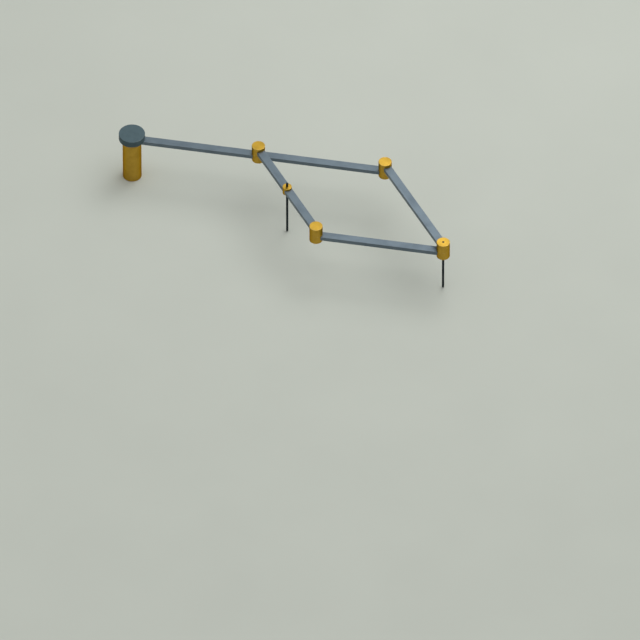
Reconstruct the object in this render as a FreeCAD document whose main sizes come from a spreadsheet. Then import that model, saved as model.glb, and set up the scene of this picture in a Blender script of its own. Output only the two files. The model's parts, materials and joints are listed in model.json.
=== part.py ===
import FreeCAD, Part
import os

import Sketcher
from FreeCAD import Vector

# Pantograph drawing instrument: four arms in a parallelogram, carried by a heavy brass post.
# Everything is in millimetres. The origin is the centre of the post's underside, on the table,
# with Z up. The arms lie evenly about the X axis, which runs along the instrument.
# Pivot O is the post, A and B lie on the long arm, C and D on the two side arms, and P is
# the tracer's place on the arm from A to C. O, P and D stay in one line.

SIZES = [
    # The linkage, seen from above
    ("root_pitch", 335.4, "pivot O to pivot A"),
    ("far_pitch", 335.4, "pivot A to pivot B, and C to D"),
    ("side_pitch", 335.4, "pivot A to pivot C, and B to D"),
    ("long_heading", 26.565, "degrees from the X axis round to the long arm"),
    ("fold_angle", 53.13, "degrees from the long arm back to the side arms"),
    ("lower_level", 130.5, "mid height of the long arm and the link arm"),
    # The arms, rectangular tubes with a block at each pivot
    ("arm_width", 21.0, "across the arm"),
    ("arm_thickness", 11.5, "height of the arm"),
    ("arm_wall", 1.0, "wall of the tube"),
    ("arm_corner", 0.8, "radius of the tube's long corners"),
    ("plug_reach", 12.0, "pivot to the inner end of a block"),
    # The barrels, each a lower and an upper knuckle
    ("joint_side", 6.8, "brass beside the arm"),
    ("joint_cover", 7.3, "brass past the end of the arm"),
    ("joint_web", 1.5, "floor between the arm and the hollow end"),
    ("joint_room", 1.65, "free height in a hollow end"),
    ("joint_cap", 1.5, "thickness of an end cap"),
    ("joint_rim", 1.5, "brass left round an end cap"),
    ("joint_ledge", 1.0, "step that an end cap rests on"),
    ("brass_edge", 0.4, "broken edges of the turned pieces"),
    ("small_edge", 0.2, "broken edges of the end caps, the clamp screws and the post's foot"),
    ("seam_gap", 0.3, "between the two halves of a barrel"),
    ("seam_rim", 2.2, "width of the rim round a seam face"),
    ("seam_relief", 2.6, "depth of the relief inside that rim"),
    ("seam_floor", 1.5, "brass left under the relief"),
    ("hub_wall", 1.5, "brass between the relief and the bush flange"),
    # The pivots of barrels A, B and C
    ("pivot_radius", 3.0, "shoulder of a pivot screw"),
    ("pivot_step", 0.5, "step from the shoulder in to the thread"),
    ("thread_tail", 0.6, "thread past a nut"),
    ("bush_wall", 1.5, "wall of a bronze bush"),
    ("flange_width", 2.0, "how far a bush flange stands out"),
    ("flange_thickness", 1.2, "thickness of a bush flange"),
    ("screw_head_rim", 1.45, "how far a pivot screw's head reaches past its bush"),
    ("screw_head_height", 3.2, "head of a pivot screw"),
    ("nut_flats", 8.0, "across the flats of a pivot nut"),
    ("nut_height", 3.5, "height of the nuts in the hollow ends"),
    ("slot_width", 1.4, "driver slot of the larger screws"),
    ("slot_depth", 1.3, "driver slot of the larger screws"),
    # The post
    ("post_radius", 24.6, "outside of the post and the swivel head"),
    ("post_wall", 3.2, "wall of the shell"),
    ("post_deck", 8.0, "solid top of the shell"),
    ("rubber_height", 2.0, "foot disc, flush with the rim"),
    ("plate_floor", 3.5, "solid top of the plate that closes the shell"),
    ("stud_radius", 4.0, "stud of the spindle"),
    ("stud_tail", 0.5, "gap between the stud and the foot disc"),
    ("spindle_nut_flats", 13.0, "across the flats of the spindle nut"),
    ("spindle_nut_height", 6.3, "height of the spindle nut"),
    ("washer_rim", 0.5, "spindle washer past the corners of its nut"),
    ("washer_height", 1.5, "thickness of the spindle washer"),
    ("well_room", 1.0, "free width round the washer in the plate"),
    ("thrust_height", 1.0, "thickness of the thrust washer"),
    ("thrust_inset", 0.6, "how far the thrust washer lies inside the post"),
    # The swivel head and its cap
    ("head_floor", 3.65, "brass under the long arm"),
    ("spindle_step", 1.0, "step from the stud out to the shank"),
    ("spindle_head_rim", 3.5, "how far the spindle's head stands out"),
    ("spindle_head_height", 5.0, "head of the spindle"),
    ("head_bush_wall", 2.0, "wall of the head's bush"),
    ("head_flange_width", 2.5, "how far that bush's flange stands out"),
    ("head_flange_height", 2.0, "thickness of that flange"),
    ("cap_radius", 34.3, "outside of the dark cap"),
    ("cap_lap", 3.25, "how far the cap reaches down over the arm"),
    ("cap_headroom", 4.05, "free height over the spindle's head"),
    ("cap_crown", 4.0, "top wall of the cap"),
    ("cap_hollow_room", 1.45, "free width round the bush's flange"),
    ("cap_edge", 0.6, "broken edges of the cap"),
    ("cap_screw_radius", 2.0, "shank of a cap screw"),
    ("cap_screw_rim", 1.5, "how far a cap screw's head stands out"),
    ("cap_screw_head_height", 2.4, "head of a cap screw"),
    ("cap_screw_sink", 0.4, "how deep that head lies in its counterbore"),
    ("cap_screw_grip", 10.0, "thread in the cap"),
    ("tapping_depth", 1.0, "hole past the end of a cap screw"),
    # The tracer and the pencil
    ("rod_radius", 3.0, "both rods"),
    ("tracer_stand", 11.75, "tracer above its collar"),
    ("nose_height", 3.0, "taper at the tracer's foot"),
    ("nose_radius", 1.2, "flat tip of the tracer"),
    ("collar_wall", 1.5, "collar beside the arm"),
    ("collar_above", 6.0, "collar above the arm"),
    ("collar_below", 5.0, "collar under the arm"),
    ("collar_sleeve_wall", 1.5, "wall of the sleeve in the collar"),
    ("pencil_stand", 0.5, "lead holder above barrel D"),
    ("lead_radius", 1.0, "the lead"),
    ("lead_length", 60.0, "the lead"),
    ("lead_reach", 1.2, "bare lead under the holder"),
    ("holder_lip", 0.6, "wall of the holder at its tip"),
    ("holder_taper", 3.0, "height of the holder's tip"),
    ("pencil_sleeve_wall", 1.9, "wall of the hollow pivot"),
    ("sleeve_head_rim", 2.5, "how far the hollow pivot's head stands out"),
    ("sleeve_bush_wall", 1.8, "wall of the bush that the hollow pivot turns in"),
    ("ring_nut_rim", 1.0, "ring nut past the bush above it"),
    ("clamp_radius", 1.5, "screws that hold the rods"),
    ("clamp_recess", 0.5, "how deep a clamp screw sits in its hole"),
    ("clamp_slot", 0.6, "driver slot of a clamp screw"),
    # Clearances
    ("press_gap", 0.02, "round a pressed or screwed fit"),
    ("running_gap", 0.05, "radial, round a turning shaft"),
    ("slide_gap", 0.06, "radial, round a sliding rod"),
    ("thrust_gap", 0.1, "endwise, at a turning face"),
    ("open_gap", 0.25, "radial, in the pivot that closes the linkage"),
    ("drop_gap", 0.2, "round a piece that is dropped in"),
    ("clamp_gap", 0.1, "between a clamp screw and its rod"),
    ("rod_exit_gap", 0.5, "round the pencil where it leaves barrel D"),
    ("cut_past", 1.0, "how far a cut runs past the faces it opens"),
]

# Names of the planes in a piece's own frame
FLOOR_PLANE = "XY_Plane"
SIDE_PLANE = "XZ_Plane"
END_PLANE = "YZ_Plane"

# A sketch's own origin, and its line on which a coordinate is nought
SKETCH_ORIGIN = (-1, 1)
ZERO_LINE = {"DistanceX": -2, "DistanceY": -1}

# How far apart the points of a sketch are before its sizes take hold
GUESS = 5.0

# Heights, worked out from the sizes
SEAM_DEPTH = "(sizes.seam_floor + sizes.seam_relief)"
JOINT_END = ("(sizes.joint_web + sizes.nut_height + sizes.thread_tail + sizes.joint_room"
             " + sizes.joint_cap)")
LOWER_LEVEL = "sizes.lower_level"
UPPER_LEVEL = f"(sizes.lower_level + sizes.arm_thickness + 2 * {SEAM_DEPTH} + sizes.seam_gap)"
LOWER_BOTTOM = "(sizes.lower_level - sizes.arm_thickness / 2)"
LOWER_TOP = "(sizes.lower_level + sizes.arm_thickness / 2)"
UPPER_BOTTOM = f"({UPPER_LEVEL} - sizes.arm_thickness / 2)"
UPPER_TOP = f"({UPPER_LEVEL} + sizes.arm_thickness / 2)"
SEAM_FLOOR = f"({LOWER_TOP} + {SEAM_DEPTH})"
SEAM_ROOF = f"({UPPER_BOTTOM} - {SEAM_DEPTH})"
BARREL_BOTTOM = f"({LOWER_BOTTOM} - {JOINT_END})"
BARREL_TOP = f"({UPPER_TOP} + {JOINT_END})"
LOWER_WEB = f"({LOWER_BOTTOM} - sizes.joint_web)"
UPPER_WEB = f"({UPPER_TOP} + sizes.joint_web)"
PENCIL_CLAMP = f"(({UPPER_WEB} + {BARREL_TOP} - sizes.joint_cap) / 2)"
HEAD_BOTTOM = f"({LOWER_BOTTOM} - sizes.head_floor)"
POST_TOP = f"({HEAD_BOTTOM} - sizes.thrust_gap - sizes.thrust_height)"
DECK_BOTTOM = f"({POST_TOP} - sizes.post_deck)"
CAP_BOTTOM = f"({LOWER_TOP} - sizes.cap_lap)"
COLLAR_BOTTOM = f"({UPPER_BOTTOM} - sizes.collar_below)"
STUD_END = "(sizes.rubber_height + sizes.stud_tail)"
NUT_BOTTOM = f"({STUD_END} + sizes.thread_tail)"
NUT_TOP = f"({NUT_BOTTOM} + sizes.spindle_nut_height)"
WELL_TOP = f"({NUT_TOP} + sizes.washer_height)"
PLATE_TOP = f"({WELL_TOP} + sizes.plate_floor)"

# Depths in a knuckle, measured from its seam face towards its capped end
ARM_FAR = f"({SEAM_DEPTH} + sizes.arm_thickness)"
WEB_FAR = f"({ARM_FAR} + sizes.joint_web)"
KNUCKLE_HEIGHT = f"({ARM_FAR} + {JOINT_END})"
CAP_SEAT = f"({KNUCKLE_HEIGHT} - sizes.joint_cap)"
FLANGE_PROUD = "(sizes.seam_gap - sizes.thrust_gap)"
FLANGE_SEAT = f"(sizes.flange_thickness - {FLANGE_PROUD})"

# Radii that follow from what lies inside or goes through
JOINT_RADIUS = "(sizes.arm_width / 2 + sizes.joint_side)"
OVERHANG = f"({JOINT_RADIUS} - sizes.joint_cover)"
CAP_RECESS = f"({JOINT_RADIUS} - sizes.joint_rim)"
END_HOLLOW = f"({CAP_RECESS} - sizes.joint_ledge)"
THREAD_RADIUS = "(sizes.pivot_radius - sizes.pivot_step)"
BUSH_BORE = "(sizes.pivot_radius + sizes.running_gap)"
BUSH_RADIUS = f"({BUSH_BORE} + sizes.bush_wall)"
BUSH_FLANGE = f"({BUSH_RADIUS} + sizes.flange_width)"
SCREW_HEAD = f"({BUSH_RADIUS} + sizes.screw_head_rim)"
SHELL_BORE = "(sizes.post_radius - sizes.post_wall)"
SPINDLE_RADIUS = "(sizes.stud_radius + sizes.spindle_step)"
SPINDLE_HEAD = f"({SPINDLE_RADIUS} + sizes.spindle_head_rim)"
WASHER_RADIUS = "(sizes.spindle_nut_flats / 2 / cos(30) + sizes.washer_rim)"
HEAD_BUSH_BORE = f"({SPINDLE_RADIUS} + sizes.running_gap)"
HEAD_BUSH_RADIUS = f"({HEAD_BUSH_BORE} + sizes.head_bush_wall)"
HEAD_FLANGE = f"({HEAD_BUSH_RADIUS} + sizes.head_flange_width)"
CAP_HOLLOW = f"({HEAD_FLANGE} + sizes.cap_hollow_room)"
CAP_SCREW_CIRCLE = "((sizes.arm_width / 2 + sizes.post_radius) / 2)"
CAP_SCREW_HEAD = "(sizes.cap_screw_radius + sizes.cap_screw_rim)"
COLLAR_RADIUS = "(sizes.arm_width / 2 + sizes.collar_wall)"
BEYOND = "(sizes.cap_radius + sizes.cut_past)"
ROD_BORE = "(sizes.rod_radius + sizes.slide_gap)"
COLLAR_SLEEVE = f"({ROD_BORE} + sizes.collar_sleeve_wall)"
PENCIL_SLEEVE = f"({ROD_BORE} + sizes.pencil_sleeve_wall)"
SLEEVE_HEAD = f"({PENCIL_SLEEVE} + sizes.sleeve_head_rim)"
SLEEVE_BUSH_BORE = f"({PENCIL_SLEEVE} + sizes.open_gap)"
SLEEVE_BUSH = f"({SLEEVE_BUSH_BORE} + sizes.sleeve_bush_wall)"
SLEEVE_BUSH_FLANGE = f"({SLEEVE_BUSH} + sizes.flange_width)"
RING_NUT = f"({SLEEVE_BUSH} + sizes.ring_nut_rim)"

# Heights of whole pieces
HEAD_HEIGHT = "(sizes.head_floor + sizes.arm_thickness - sizes.cap_lap)"
CAP_HOLLOW_HEIGHT = ("(sizes.cap_lap + sizes.head_flange_height + sizes.thrust_gap"
                     " + sizes.spindle_head_height + sizes.cap_headroom)")
CAP_HEIGHT = f"({CAP_HOLLOW_HEIGHT} + sizes.cap_crown)"
CAP_SCREW_SINK = "(sizes.cap_screw_head_height + sizes.cap_screw_sink)"
COLLAR_HEIGHT = "(sizes.collar_below + sizes.arm_thickness + sizes.collar_above)"
TRACER_LENGTH = f"({COLLAR_BOTTOM} + {COLLAR_HEIGHT} + sizes.tracer_stand)"
PENCIL_LENGTH = f"({BARREL_TOP} + sizes.pencil_stand)"

# Headings of the arms, and how far along them the inner pivots lie
LONG_TURN = "sizes.long_heading"
SIDE_TURN = "(360 + sizes.long_heading - sizes.fold_angle)"
LONG_REACH = "(sizes.root_pitch + sizes.far_pitch)"
TRACER_REACH = f"(sizes.side_pitch * sizes.root_pitch / {LONG_REACH})"


def stepped(start, turn, distance):
    """Return the spot that lies a distance from another, along a heading."""
    across, along = start
    return f"({across} + {distance} * cos({turn}))", f"({along} + {distance} * sin({turn}))"


SPOT_O = ("0", "0")
SPOT_A = stepped(SPOT_O, LONG_TURN, "sizes.root_pitch")
SPOT_B = stepped(SPOT_O, LONG_TURN, LONG_REACH)
SPOT_C = stepped(SPOT_A, SIDE_TURN, "sizes.side_pitch")
SPOT_D = stepped(SPOT_B, SIDE_TURN, "sizes.side_pitch")
SPOT_P = stepped(SPOT_A, SIDE_TURN, TRACER_REACH)

doc = FreeCAD.newDocument("pantograph")
sheet = doc.addObject("Spreadsheet::Sheet", "sizes")
for row, (name, value, meaning) in enumerate(SIZES, start=1):
    sheet.set(f"A{row}", name)
    sheet.set(f"B{row}", str(value))
    sheet.set(f"C{row}", meaning)
    sheet.setAlias(f"B{row}", name)
doc.recompute()

nodes = []


def place(piece, spot, lift, turn="0"):
    """Put a piece at a spot and a height, turned about the vertical."""
    piece.setExpression("Placement.Base.x", spot[0])
    piece.setExpression("Placement.Base.y", spot[1])
    piece.setExpression("Placement.Base.z", lift)
    if turn != "0":
        piece.setExpression("Placement.Rotation.Angle", turn)


def keep(piece, label):
    """Note a finished piece, which is written out under its label."""
    piece.Label = label
    nodes.append(piece)


def sketch_on(body, role, name):
    """Add an empty sketch on one of a body's own planes."""
    sketch = body.newObject("Sketcher::SketchObject", name)
    plane = next(item for item in body.Origin.OriginFeatures if item.Role == role)
    sketch.AttachmentSupport = (plane, "")
    sketch.MapMode = "FlatFace"
    return sketch


def hold(sketch, item, point, direction, text, guess):
    """Hold a point at a distance from the sketch's origin; a leading minus means the far side."""
    if text == "0":
        line = ZERO_LINE[direction]
        sketch.addConstraint(Sketcher.Constraint("PointOnObject", item, point, line))
        return
    ends = (*SKETCH_ORIGIN, item, point)
    if text.startswith("-"):
        ends = (item, point, *SKETCH_ORIGIN)
        text = text[1:]
    index = sketch.addConstraint(Sketcher.Constraint(direction, *ends, abs(guess)))
    sketch.setExpression(f"Constraints[{index}]", text)


def first_guess(index, text):
    """Return a first guess for a coordinate, on the right side of the sketch's origin."""
    if text == "0":
        return 0.0
    size = GUESS * (index + 1)
    return -size if text.startswith("-") else size


def outline(sketch, corners):
    """Draw a closed outline of straight lines through corners, and hold each corner."""
    count = len(corners)
    guesses = []
    for index, (across, up) in enumerate(corners):
        guesses.append(Vector(first_guess(index, across), first_guess(index * index, up), 0))
    for index in range(count):
        line = Part.LineSegment(guesses[index], guesses[(index + 1) % count])
        sketch.addGeometry(line, False)
    for index in range(count):
        after = (index + 1) % count
        sketch.addConstraint(Sketcher.Constraint("Coincident", index, 2, after, 1))
    for index, (across, up) in enumerate(corners):
        hold(sketch, index, 1, "DistanceX", across, guesses[index].x)
        hold(sketch, index, 1, "DistanceY", up, guesses[index].y)


def circle(sketch, across, up, radius):
    """Draw a circle with its centre held at a place in the sketch."""
    index = sketch.GeometryCount
    middle = Vector(first_guess(index, across), first_guess(index, up), 0)
    sketch.addGeometry(Part.Circle(middle, Vector(0, 0, 1), GUESS), False)
    hold(sketch, index, 3, "DistanceX", across, middle.x)
    hold(sketch, index, 3, "DistanceY", up, middle.y)
    size = sketch.addConstraint(Sketcher.Constraint("Radius", index, GUESS))
    sketch.setExpression(f"Constraints[{size}]", radius)


def oblong(left, right, bottom, top):
    """Return a drawing of a rectangle between two sides and two heights."""
    def draw(sketch):
        outline(sketch, [(left, bottom), (right, bottom), (right, top), (left, top)])
    return draw


def turned(name, corners, role=SIDE_PLANE):
    """Return a body turned from a half section of (radius, distance along the axis) corners."""
    body = doc.addObject("PartDesign::Body", name)
    section = sketch_on(body, role, f"{name}_section")
    outline(section, corners)
    turning = body.newObject("PartDesign::Revolution", f"{name}_turning")
    turning.Profile = section
    turning.ReferenceAxis = (section, ["V_Axis"])
    turning.Angle = 360
    return body


def disc(name, radius, height, hole="0"):
    """Return a turned disc or ring."""
    return turned(name, [(hole, "0"), (radius, "0"), (radius, height), (hole, height)])


def cut_both_ways(body, role, name, draw, length):
    """Cut a drawing out of a body, by half a length to each side of its plane."""
    sketch = sketch_on(body, role, f"{name}_sketch")
    draw(sketch)
    cut = body.newObject("PartDesign::Pocket", name)
    cut.Profile = sketch
    cut.Type = "Length"
    cut.SideType = "Symmetric"
    cut.setExpression("Length", length)


def cut_one_way(body, role, name, draw, depth=None, reverse=True):
    """Cut a drawing out of a body from its plane, to a depth or right through.

    On the floor and end planes the cut runs the plane's own way, up or ahead, when it is
    reversed. On the side plane it runs to the piece's right when reversed, else to its left.
    """
    sketch = sketch_on(body, role, f"{name}_sketch")
    draw(sketch)
    cut = body.newObject("PartDesign::Pocket", name)
    cut.Profile = sketch
    cut.Reversed = reverse
    if depth is None:
        cut.Type = "ThroughAll"
    else:
        cut.Type = "Length"
        cut.setExpression("Length", depth)


def driver_slot(body, name, radius, top):
    """Cut a driver slot across the top of a screw's head."""
    half = "(sizes.slot_width / 2)"
    shape = oblong(f"-{half}", half, f"({top} - sizes.slot_depth)", f"({top} + sizes.cut_past)")
    cut_both_ways(body, SIDE_PLANE, f"{name}_slot", shape, f"2 * ({radius} + sizes.cut_past)")


def hex_nut(name, flats, height, thread):
    """Return a six-sided nut, drilled to clear its thread by the press gap."""
    blank = doc.addObject("Part::Prism", f"{name}_blank")
    blank.Polygon = 6
    blank.setExpression("Circumradius", f"{flats} / 2 / cos(30)")
    blank.setExpression("Height", height)
    drill = doc.addObject("Part::Cylinder", f"{name}_drill")
    drill.setExpression("Radius", f"{thread} + sizes.press_gap")
    drill.setExpression("Height", height)
    nut = doc.addObject("Part::Cut", name)
    nut.Base = blank
    nut.Tool = drill
    return nut


def group(label, pieces):
    """Keep several separate solids of one kind together under one name."""
    bundle = doc.addObject("Part::Compound", label)
    bundle.Links = pieces
    keep(bundle, label)


def window(body, name, back, bottom, top):
    """Cut the seat of an arm through a body, from a place behind the pivot out past the front."""
    shape = oblong(back, BEYOND, bottom, top)
    cut_both_ways(body, SIDE_PLANE, f"{name}_window", shape, "sizes.arm_width")


def clamp_hole(body, name, height, to_right=False):
    """Drill the hole of a clamp screw outwards from the middle, at a height."""
    def draw(sketch):
        circle(sketch, "0", height, "(sizes.clamp_radius + sizes.press_gap)")
    cut_one_way(body, SIDE_PLANE, f"{name}_clamp_hole", draw, reverse=to_right)


def knuckle(label, spot, turn, upper, bore, web_bore, recess, hub, passing=False, clamped=False):
    """Make half a barrel: a brass turning with a window for its arm and a hollow capped end.

    The arm leaves along the piece's own X axis, or passes through. A recess in the seam face
    takes a bush flange. Depths run from the seam face, so a lower knuckle counts them
    downwards from its top.
    """
    def level(depth):
        if upper:
            return depth
        if depth == "0":
            return KNUCKLE_HEIGHT
        return "0" if depth == KNUCKLE_HEIGHT else f"({KNUCKLE_HEIGHT} - {depth})"

    relief = f"({JOINT_RADIUS} - sizes.seam_rim)"
    broken = f"({JOINT_RADIUS} - sizes.brass_edge)"
    section = [
        (recess or bore, "0"),
        (hub, "0"),
        (hub, "sizes.seam_relief"),
        (relief, "sizes.seam_relief"),
        (relief, "0"),
        (broken, "0"),
        (JOINT_RADIUS, "sizes.brass_edge"),
        (JOINT_RADIUS, f"({KNUCKLE_HEIGHT} - sizes.brass_edge)"),
        (broken, KNUCKLE_HEIGHT),
        (CAP_RECESS, KNUCKLE_HEIGHT),
        (CAP_RECESS, CAP_SEAT),
        (END_HOLLOW, CAP_SEAT),
        (END_HOLLOW, WEB_FAR),
        (web_bore, WEB_FAR),
    ]
    if web_bore != bore:
        section.extend([(web_bore, ARM_FAR), (bore, ARM_FAR)])
    if recess:
        section.extend([(bore, FLANGE_SEAT), (recess, FLANGE_SEAT)])
    body = turned(label, [(radius, level(depth)) for radius, depth in section])
    arm_sides = (level(SEAM_DEPTH), level(ARM_FAR))
    bottom, top = arm_sides if upper else reversed(arm_sides)
    window(body, label, f"-{BEYOND}" if passing else f"-{OVERHANG}", bottom, top)
    if clamped:
        clamp_hole(body, label, f"({PENCIL_CLAMP} - {SEAM_ROOF})", to_right=True)
    place(body, spot, SEAM_ROOF if upper else BARREL_BOTTOM, turn)
    keep(body, label)


def end_cap(label, spot, upper, hole="0"):
    """Make the flush disc that closes a barrel's hollow end, broken edge outwards."""
    radius = f"({CAP_RECESS} - sizes.press_gap)"
    inset = f"({radius} - sizes.small_edge)"
    height = "sizes.joint_cap"
    if upper:
        rim = [(radius, "0"), (radius, f"({height} - sizes.small_edge)"), (inset, height)]
    else:
        rim = [(inset, "0"), (radius, "sizes.small_edge"), (radius, height)]
    body = turned(label, [(hole, "0"), *rim, (hole, height)])
    place(body, spot, f"({BARREL_TOP} - {height})" if upper else BARREL_BOTTOM)
    keep(body, label)


def arm_tube(label, spot, turn, level, length, holes):
    """Make an arm: a rectangular tube with rounded corners and a hole at each pivot."""
    body = doc.addObject("PartDesign::Body", label)
    section = sketch_on(body, END_PLANE, f"{label}_section")
    half_width = "(sizes.arm_width / 2)"
    half_height = "(sizes.arm_thickness / 2)"
    oblong(f"-{half_width}", half_width, f"-{half_height}", half_height)(section)
    bar = body.newObject("PartDesign::Pad", f"{label}_bar")
    bar.Profile = section
    bar.setExpression("Length", f"{length} + 2 * {OVERHANG}")
    doc.recompute()
    corners = []
    for number, edge in enumerate(bar.Shape.Edges, start=1):
        reach = edge.BoundBox
        if reach.XLength > reach.YLength + reach.ZLength:
            corners.append(f"Edge{number}")
    rounding = body.newObject("PartDesign::Fillet", f"{label}_corners")
    rounding.Base = (bar, corners)
    rounding.setExpression("Radius", "sizes.arm_corner")
    inner_width = f"({half_width} - sizes.arm_wall)"
    inner_height = f"({half_height} - sizes.arm_wall)"
    cut_one_way(body, END_PLANE, f"{label}_bore",
                oblong(f"-{inner_width}", inner_width, f"-{inner_height}", inner_height))

    def draw_holes(sketch):
        for distance, radius in holes:
            circle(sketch, f"({distance} + {OVERHANG})", "0", radius)

    cut_both_ways(body, FLOOR_PLANE, f"{label}_holes", draw_holes,
                  "sizes.arm_thickness + 2 * sizes.cut_past")
    place(body, stepped(spot, turn, f"-{OVERHANG}"), level, turn)
    keep(body, label)


def arm_block(name, spot, turn, level, behind, ahead, hole):
    """Return a solid block that fills an arm round a pivot, drilled for what passes through."""
    width = "(sizes.arm_width - 2 * sizes.arm_wall - 2 * sizes.press_gap)"
    height = "(sizes.arm_thickness - 2 * sizes.arm_wall - 2 * sizes.press_gap)"
    block = doc.addObject("Part::Box", f"{name}_block")
    block.setExpression("Length", f"{behind} + {ahead}")
    block.setExpression("Width", width)
    block.setExpression("Height", height)
    block.setExpression("Placement.Base.x", f"-{behind}")
    block.setExpression("Placement.Base.y", f"-{width} / 2")
    block.setExpression("Placement.Base.z", f"-{height} / 2")
    drill = doc.addObject("Part::Cylinder", f"{name}_drill")
    drill.setExpression("Radius", hole)
    drill.setExpression("Height", "sizes.arm_thickness")
    drill.setExpression("Placement.Base.z", "-sizes.arm_thickness / 2")
    piece = doc.addObject("Part::Cut", name)
    piece.Base = block
    piece.Tool = drill
    place(piece, spot, level, turn)
    return piece


def flanged_bush(label, spot, lift, radii, flange_height, total, flange_low):
    """Make a bronze bush with its flange at the bottom or at the top."""
    bore, radius, flange = radii
    if flange_low:
        section = [(bore, "0"), (flange, "0"), (flange, flange_height), (radius, flange_height),
                   (radius, total), (bore, total)]
    else:
        under = f"({total} - {flange_height})"
        section = [(bore, "0"), (radius, "0"), (radius, under), (flange, under),
                   (flange, total), (bore, total)]
    body = turned(label, section)
    place(body, spot, lift)
    keep(body, label)


def shoulder_screw(label, spot, turn, lift, thread, shoulder, seat, head, head_height):
    """Make a slotted screw that widens from its thread to a shoulder, and again to its head."""
    thread_radius, thread_end = thread
    top = f"({seat} + {head_height})"
    body = turned(label, [
        ("0", "0"),
        (f"({thread_radius} - sizes.brass_edge)", "0"),
        (thread_radius, "sizes.brass_edge"),
        (thread_radius, thread_end),
        (shoulder, thread_end),
        (shoulder, seat),
        (head, seat),
        (head, f"({top} - sizes.brass_edge)"),
        (f"({head} - sizes.brass_edge)", top),
        ("0", top),
    ])
    driver_slot(body, label, head, top)
    place(body, spot, lift, turn)
    keep(body, label)


def clamp_screw(label, spot, turn, lift, outside):
    """Make a headless slotted screw that points from a rod out to a brass face, along Y."""
    start = "(sizes.rod_radius + sizes.clamp_gap)"
    end = f"({outside} - sizes.clamp_recess)"
    half = "(sizes.clamp_slot / 2)"
    body = turned(label, [
        ("0", start),
        ("(sizes.clamp_radius - sizes.small_edge)", start),
        ("sizes.clamp_radius", f"({start} + sizes.small_edge)"),
        ("sizes.clamp_radius", end),
        ("0", end),
    ], role=FLOOR_PLANE)
    shape = oblong(f"-{half}", half, f"({end} - 2 * sizes.clamp_slot)", f"({end} + sizes.cut_past)")
    cut_both_ways(body, FLOOR_PLANE, f"{label}_slot", shape,
                  "2 * (sizes.clamp_radius + sizes.cut_past)")
    place(body, spot, lift, turn)
    keep(body, label)


# Post: shell, ballast, plate and foot, held together by the spindle's stud

stud_hole = "(sizes.stud_radius + sizes.drop_gap)"
inner_disc = f"({SHELL_BORE} - sizes.drop_gap)"

post_shell = turned("post_shell", [
    (SHELL_BORE, "0"),
    ("(sizes.post_radius - sizes.small_edge)", "0"),
    ("sizes.post_radius", "sizes.small_edge"),
    ("sizes.post_radius", f"({POST_TOP} - sizes.brass_edge)"),
    ("(sizes.post_radius - sizes.brass_edge)", POST_TOP),
    (stud_hole, POST_TOP),
    (stud_hole, DECK_BOTTOM),
    (SHELL_BORE, DECK_BOTTOM),
])
keep(post_shell, "post_shell")

ballast = disc("ballast_core", inner_disc, f"({DECK_BOTTOM} - {PLATE_TOP})", stud_hole)
place(ballast, SPOT_O, PLATE_TOP)
keep(ballast, "ballast_core")

well_radius = f"({WASHER_RADIUS} + sizes.well_room)"
well_depth = f"({WELL_TOP} - sizes.rubber_height)"
plate_height = f"({PLATE_TOP} - sizes.rubber_height)"
base_plate = turned("base_plate", [
    (well_radius, "0"),
    (inner_disc, "0"),
    (inner_disc, plate_height),
    (stud_hole, plate_height),
    (stud_hole, well_depth),
    (well_radius, well_depth),
])
place(base_plate, SPOT_O, "sizes.rubber_height")
keep(base_plate, "base_plate")

keep(disc("rubber_foot", inner_disc, "sizes.rubber_height"), "rubber_foot")

spindle_washer = disc("spindle_washer", WASHER_RADIUS, "sizes.washer_height", stud_hole)
place(spindle_washer, SPOT_O, NUT_TOP)
keep(spindle_washer, "spindle_washer")

spindle_nut = hex_nut("spindle_nut", "sizes.spindle_nut_flats", "sizes.spindle_nut_height",
                      "sizes.stud_radius")
place(spindle_nut, SPOT_O, NUT_BOTTOM)
keep(spindle_nut, "spindle_nut")

spindle_seat = f"({LOWER_TOP} + sizes.head_flange_height + sizes.thrust_gap - {STUD_END})"
shoulder_screw("pivot_spindle", SPOT_O, LONG_TURN, STUD_END,
               ("sizes.stud_radius", f"({POST_TOP} - {STUD_END})"), SPINDLE_RADIUS,
               spindle_seat, SPINDLE_HEAD, "sizes.spindle_head_height")

thrust_washer = disc("thrust_washer", "(sizes.post_radius - sizes.thrust_inset)",
                     "sizes.thrust_height", f"({SPINDLE_RADIUS} + sizes.drop_gap)")
place(thrust_washer, SPOT_O, POST_TOP)
keep(thrust_washer, "thrust_washer")


# Swivel head: slotted puck, bush, cap and the screws that join them over the long arm

head_hole = f"({HEAD_BUSH_RADIUS} + sizes.press_gap)"
screw_spots = [("0", CAP_SCREW_CIRCLE), ("0", f"-{CAP_SCREW_CIRCLE}"), (f"-{CAP_SCREW_CIRCLE}", "0")]


def screw_circles(radius):
    """Return a drawing of the three cap screws' holes."""
    def draw(sketch):
        for across, up in screw_spots:
            circle(sketch, across, up, radius)
    return draw


tapping = screw_circles("(sizes.cap_screw_radius + sizes.press_gap)")

swivel_head = turned("swivel_head", [
    (head_hole, "0"),
    ("(sizes.post_radius - sizes.brass_edge)", "0"),
    ("sizes.post_radius", "sizes.brass_edge"),
    ("sizes.post_radius", HEAD_HEIGHT),
    (head_hole, HEAD_HEIGHT),
])
window(swivel_head, "swivel_head", f"-{OVERHANG}", "sizes.head_floor",
       f"({HEAD_HEIGHT} + sizes.cut_past)")
cut_one_way(swivel_head, FLOOR_PLANE, "head_drilling", tapping)
cut_one_way(swivel_head, FLOOR_PLANE, "head_sinks",
            screw_circles(f"({CAP_SCREW_HEAD} + sizes.drop_gap)"), CAP_SCREW_SINK)
place(swivel_head, SPOT_O, HEAD_BOTTOM, LONG_TURN)
keep(swivel_head, "swivel_head")

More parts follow.
